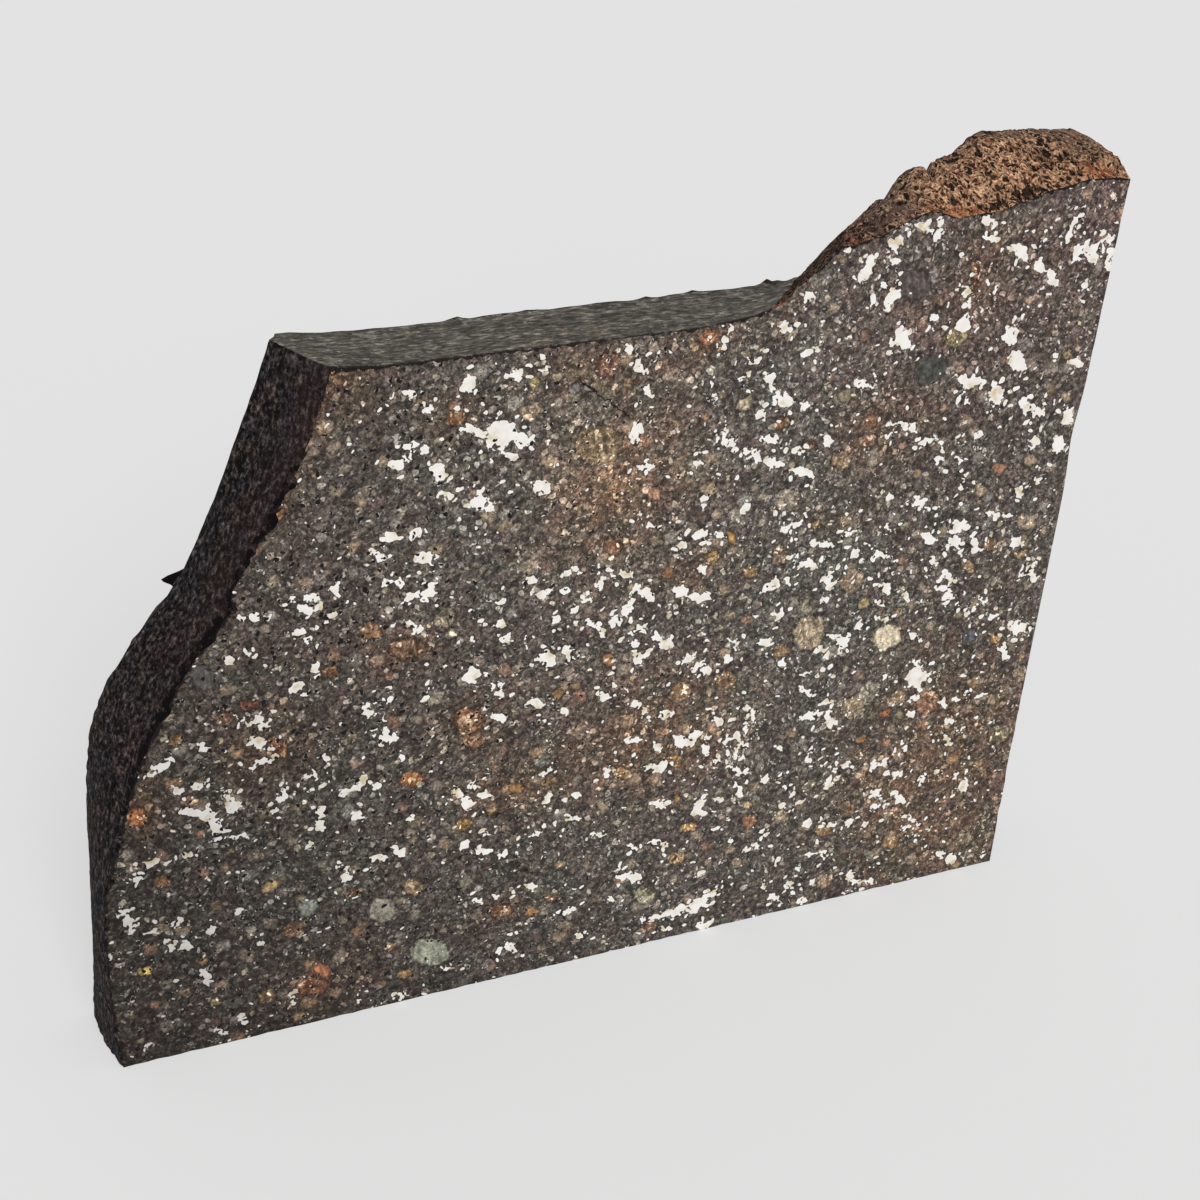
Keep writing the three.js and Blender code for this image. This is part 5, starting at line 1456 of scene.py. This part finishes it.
cast_tint = add(tree, "Mix", {0: cast_place, 6: (0.92, 0.98, 1.08, 1), 7: (1.12, 0.98, 0.92, 1)},
                data_type="RGBA")
tinted = add(tree, "Mix", {0: 1.0, 6: stone, 7: cast_tint.outputs[2]}, data_type="RGBA",
             blend_type="MULTIPLY")
print("made the streaks of", dark_side.name)

# %% Bloom, bevel and dark edge of the weathered dark stone
# Each row is an axis and the two places, in the part's own frame, between which the effect comes in.
bloom_front, bloom_up, bevel_back, bevel_up = [
    add(tree, "MapRange", {"Value": at.outputs[axis], "From Min": start, "From Max": end})
    for axis, start, end in ((1, 0.6, -2.0), (2, 14.0, 26.0), (1, 1.6, 1.75), (2, 17.0, 24.0))]
bloom = add(tree, "Math", {0: bloom_front, 1: bloom_up}, operation="MULTIPLY")
bloom_part = add(tree, "Math", {0: bloom, 1: 0.35}, operation="MULTIPLY")
purplish = add(tree, "Mix", {0: bloom_part, 6: tinted.outputs[2], 7: linear("33211f")}, data_type="RGBA")
bevel = add(tree, "Math", {0: bevel_back, 1: bevel_up}, operation="MULTIPLY")
bevel_part = add(tree, "Math", {0: bevel, 1: 0.4}, operation="MULTIPLY")
worn = add(tree, "Mix", {0: bevel_part, 6: purplish.outputs[2], 7: linear("5a554d")}, data_type="RGBA")
dirty, _ = ragged_dirt_and_shade(tree, worn.outputs[2], "hollow", "080506", 2.2, 0.4, 0.42, 0.6)
relief = add(tree, "Bump", {"Height": mixed, "Strength": 1.0, "Distance": 0.25 * MM})
finish_material(tree, {"Base Color": dirty, "Roughness": 0.85, "IOR": 1.6, "Specular IOR Level": 0.06,
                       "Normal": relief})
print("made", dark_side.name)

# %% [markdown]
# ## The rusty crust
# Iron in the crust has turned to rust-coloured oxides. The colour is a mix of tan ridges, red-brown
# slopes and black in the pores. The light ridge tops, the pale lips of the holes and the dark ground
# between the ridges are partly the oxide's own colours and partly painted highlight and shade, and the
# darkened back rim is partly painted shade. Stored patches make it orange in places along the front
# edge, black-brown in others, and purple-brown along the back and on the left lobe. Oxides are dull,
# so it is rough all over. The mesh carries the pores that show against the sky. What is finer is drawn
# here, as colour and as a bump. The recipe is used twice, so each of its steps is a function.

# %% Worm-like ridges of the crust
def worm_ridges(tree, mm):
    """The bent space of the crust, and the height of its finest ridges from 0 to 1."""
    drawn_out = add(tree, "Mapping", {"Vector": mm, "Scale": (1, ALONG_DEPTH, 1)})
    wander = add(tree, "TexNoise", {"Vector": drawn_out, "Scale": 2.0, "Detail": 2.0})
    drift = add(tree, "VectorMath", {0: wander.outputs["Color"], "Scale": 0.7}, operation="SCALE")
    wormy = add(tree, "VectorMath", {0: drawn_out, 1: drift}, operation="ADD")
    signed = uneven(tree, wormy, 2.9, 2.0, 0.55, (0.34, 0.66), (-1, 1))
    size = add(tree, "Math", {0: signed}, operation="ABSOLUTE")
    return wormy, add(tree, "Math", {0: 1.0, 1: size}, operation="SUBTRACT")


print("ridges in mm:", round(1 / 2.9, 2))

# %% Orange and purple-brown stains of the crust
def stain_crust(tree, mm, colour):
    """The stained colour, and the strength of the black patches for a later step."""
    spots = add(tree, "Attribute", attribute_name="crust_tone")
    spot = add(tree, "SeparateColor", {"Color": spots.outputs["Color"]})
    patched = uneven(tree, mm, 1.3, 3.0, 0.5, (0.3, 0.55), (0, 1))
    for channel, stain, least, most in ((0, "9a552f", 0.25, 0.85), (2, "574540", 0.6, 0.92)):
        amount = add(tree, "MapRange", {"Value": patched, "To Min": least, "To Max": most})
        stained = add(tree, "Math", {0: spot.outputs[channel], 1: amount}, operation="MULTIPLY")
        colour = add(tree, "Mix", {0: stained, 6: colour, 7: linear(stain)}, data_type="RGBA").outputs[2]
    return colour, spot.outputs[1]


print("stains are placed by", len(CRUST_ORANGE) + len(CRUST_PURPLE), "clouds")

# %% Holes of two sizes with pale lips
def pale_lips(tree, where, colour, lips, pore_share):
    """The colour with the raised lips, its palest part and partly a painted highlight, and a hole's depth."""
    # Distance apart, radii, share of cells, length to width, where the lip lies, its strength.
    kinds = [
        (0.5, (0.06, 0.19), pore_share, 1.3, (-0.1, -0.05), 0.45),
        (0.26, (0.03, 0.1), 0.65, 1.2, (-0.05, -0.02), 0.4),
    ]
    found = []
    for spacing, sizes, share, longer, (start, end), strength in kinds:
        holes, _ = grains(tree, where, spacing, sizes, share, longer)
        # Each hole's pale lip is partly a painted highlight on its raised rim.
        lip = add(tree, "MapRange", {"Value": holes, "From Min": start, "From Max": end, "To Max": strength})
        colour = add(tree, "Mix", {0: lip, 6: colour, 7: linear(lips)}, data_type="RGBA").outputs[2]
        found.append(holes)
    return colour, add(tree, "Math", {0: found[0], 1: found[1]}, operation="MAXIMUM")


print("holes in the crust have two sizes")

# %% Black dirt on the crust
def blacken(tree, colour, black_spot, ridges):
    """Black in patches, deepest between the ridges, and in the stored pores and back rim; partly painted
    shade.
    """
    shaded = add(tree, "Mix", {0: black_spot, 6: colour, 7: (0.66, 0.62, 0.6, 1)}, data_type="RGBA",
                 blend_type="MULTIPLY")
    # Painted shade in part: the ground between the ridges blackens first.
    low_part = add(tree, "MapRange", {"Value": ridges, "To Min": 0.8, "To Max": 0.0})
    level = add(tree, "Math", {0: black_spot, 1: low_part}, operation="ADD")
    black = add(tree, "MapRange", {"Value": level, "From Min": 0.95, "From Max": 1.1, "To Max": 0.9})
    # The stored number blackens the pores, and the back rim as painted shade in part.
    stored = add(tree, "Attribute", attribute_name="hollow")
    dirt = add(tree, "MapRange", {"Value": stored.outputs["Fac"], "From Min": 0.4, "From Max": 0.65,
                                  "To Max": 0.92})
    colour = shaded.outputs[2]
    for amount in (black, dirt):
        colour = add(tree, "Mix", {0: amount, 6: colour, 7: linear("1a100b")}, data_type="RGBA").outputs[2]
    return colour


print("black patches on the crust:", len(CRUST_BLACK))

# %% Rusty weathered crust
def crust_material(name, dark, middle, light, lips, pore_share):
    material, tree = new_material(name)
    mm = millimetres(tree)
    wormy, ridges = worm_ridges(tree, mm)
    # Light ridge tops and dark low ground: partly the oxide's own colour, partly painted highlight and shade.
    tint = add(tree, "ValToRGB", {"Fac": ridges},
               stops=[(0.1, dark), (0.4, middle), (0.75, light), (0.95, lips)])
    stained, black_spot = stain_crust(tree, mm, tint)
    lipped, holes = pale_lips(tree, wormy, stained, lips, pore_share)
    dirty = blacken(tree, lipped, black_spot, ridges)
    pinhole = add(tree, "MapRange", {"Value": holes, "From Min": -0.01, "From Max": 0.01, "To Max": 0.97})
    speckled = add(tree, "Mix", {0: pinhole, 6: dirty, 7: linear("120b07")}, data_type="RGBA")
    raised = add(tree, "Math", {0: ridges, 1: pinhole}, operation="SUBTRACT")
    relief = add(tree, "Bump", {"Height": raised, "Strength": 1.0, "Distance": 0.16 * MM})
    finish_material(tree, {"Base Color": speckled.outputs[2], "Roughness": 0.9, "IOR": 1.6,
                           "Specular IOR Level": 0.12, "Normal": relief})
    print("made", name)
    return material


rusty_crust = crust_material("rusty_oxide_crust", "2a150b", "7b523e", "a67c5e", "d6b08a", 0.85)

# %% [markdown]
# ## The broken flank
# Between the crust and the ledge the stone broke off. It is the same oxide but thinner and blacker,
# so it uses the same recipe with darker colours.

# %% Broken flank
broken_flank = crust_material("broken_dark_crust", "020100", "120c08", "523d2f", "967456", 0.95)
for material in (polished, sawn, dark_side, rusty_crust, broken_flank):
    skin.materials.append(material)
print("surfaces in order:", SURFACES, [m.name for m in skin.materials])

# %% [markdown]
# ## Tying the piece to the part
# The skin stands for the CAD part's one solid and rides on its body.

# %% Frame calls
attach(slice_piece, "root")
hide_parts("chondrite_slice")
print("piece", slice_piece.name, "rides on root")

# %% [markdown]
# ## The floor
# The slice stands on plain pale paper on a light table: part of the paper's brightness comes from
# below, which leaves only a weak shadow. It is one square.

# %% Floor
floor_mesh = bpy.data.meshes.new("floor")
half = 1.5
corners = [(-half, -half, 0), (half, -half, 0), (half, half, 0), (-half, half, 0)]
floor_mesh.from_pydata(corners, [], [(0, 1, 2, 3)])
floor = bpy.data.objects.new("floor", floor_mesh)
bpy.context.collection.objects.link(floor)
paper, tree = new_material("backlit_paper")
finish_material(tree, {"Base Color": linear("a0a0a0"), "Roughness": 1.0, "Specular IOR Level": 0.0,
                       "Emission Color": (1, 1, 1, 1), "Emission Strength": 0.4})
floor_mesh.materials.append(paper)
print("floor is", 2 * half, "m across")

# %% [markdown]
# ## The light
# A pale world gives an even light from all sides, as a white tent does, and one large soft source in
# front and above gives the faces their difference. It is a sun lamp with a wide disc, because its
# light is as strong on every part of the floor, and it stands nearly behind the camera, so that the
# slice hides its own shadow.

# %% Light
world = bpy.data.worlds.new("white_tent")
bpy.context.scene.world = world
world.use_nodes = True
sky = world.node_tree.nodes["Background"]
sky.inputs["Color"].default_value = (1, 1, 1, 1)
sky.inputs["Strength"].default_value = 0.5

SUN_FROM = Vector((-0.262, -0.72, 0.643))
lamp = bpy.data.lights.new("soft_front_lamp", "SUN")
lamp.energy, lamp.angle = 0.85 * math.pi, math.radians(35)
lamp_holder = bpy.data.objects.new("soft_front_lamp", lamp)
lamp_holder.rotation_mode = "QUATERNION"
lamp_holder.rotation_quaternion = SUN_FROM.to_track_quat("Z", "Y")
bpy.context.collection.objects.link(lamp_holder)
print("lamp stands", round(math.degrees(math.asin(SUN_FROM.normalized().z))), "degrees above the floor")

# %% [markdown]
# ## The camera
# It is a 75 mm lens on a 36 mm sensor, a little over 12 cm away, above the slice and to its left,
# turned slightly on its axis. Its place is measured from the slice's own corner, and its three axes
# are listed as directions, because a close camera's perspective shows every degree. A separate program
# worked them out from the slice's straight edges, so they are not round numbers. The plain view
# transform keeps the colours of the materials as they are.

# %% Camera
camera_data = bpy.data.cameras.new("camera")
camera_data.lens, camera_data.sensor_width = 75, 36
camera_data.clip_start, camera_data.clip_end = 0.005, 10
camera = bpy.data.objects.new("camera", camera_data)
FROM_CORNER = Vector((-27.747, -89.067, 79.408))
RIGHT = (0.88884, -0.44887, 0.09206)
UP = (0.15091, 0.47647, 0.86614)
BACK = (-0.43265, -0.75597, 0.49124)
turn = Matrix((RIGHT, UP, BACK)).transposed()
camera.matrix_world = Matrix.Translation((FROM_CORNER + TO_FRAME) * MM) @ turn.to_4x4()
bpy.context.collection.objects.link(camera)
bpy.context.scene.camera = camera
bpy.context.scene.view_settings.view_transform = "Standard"
print("camera is", round((FROM_CORNER - Vector((25, 2, 18))).length), "mm from the middle of the slice")
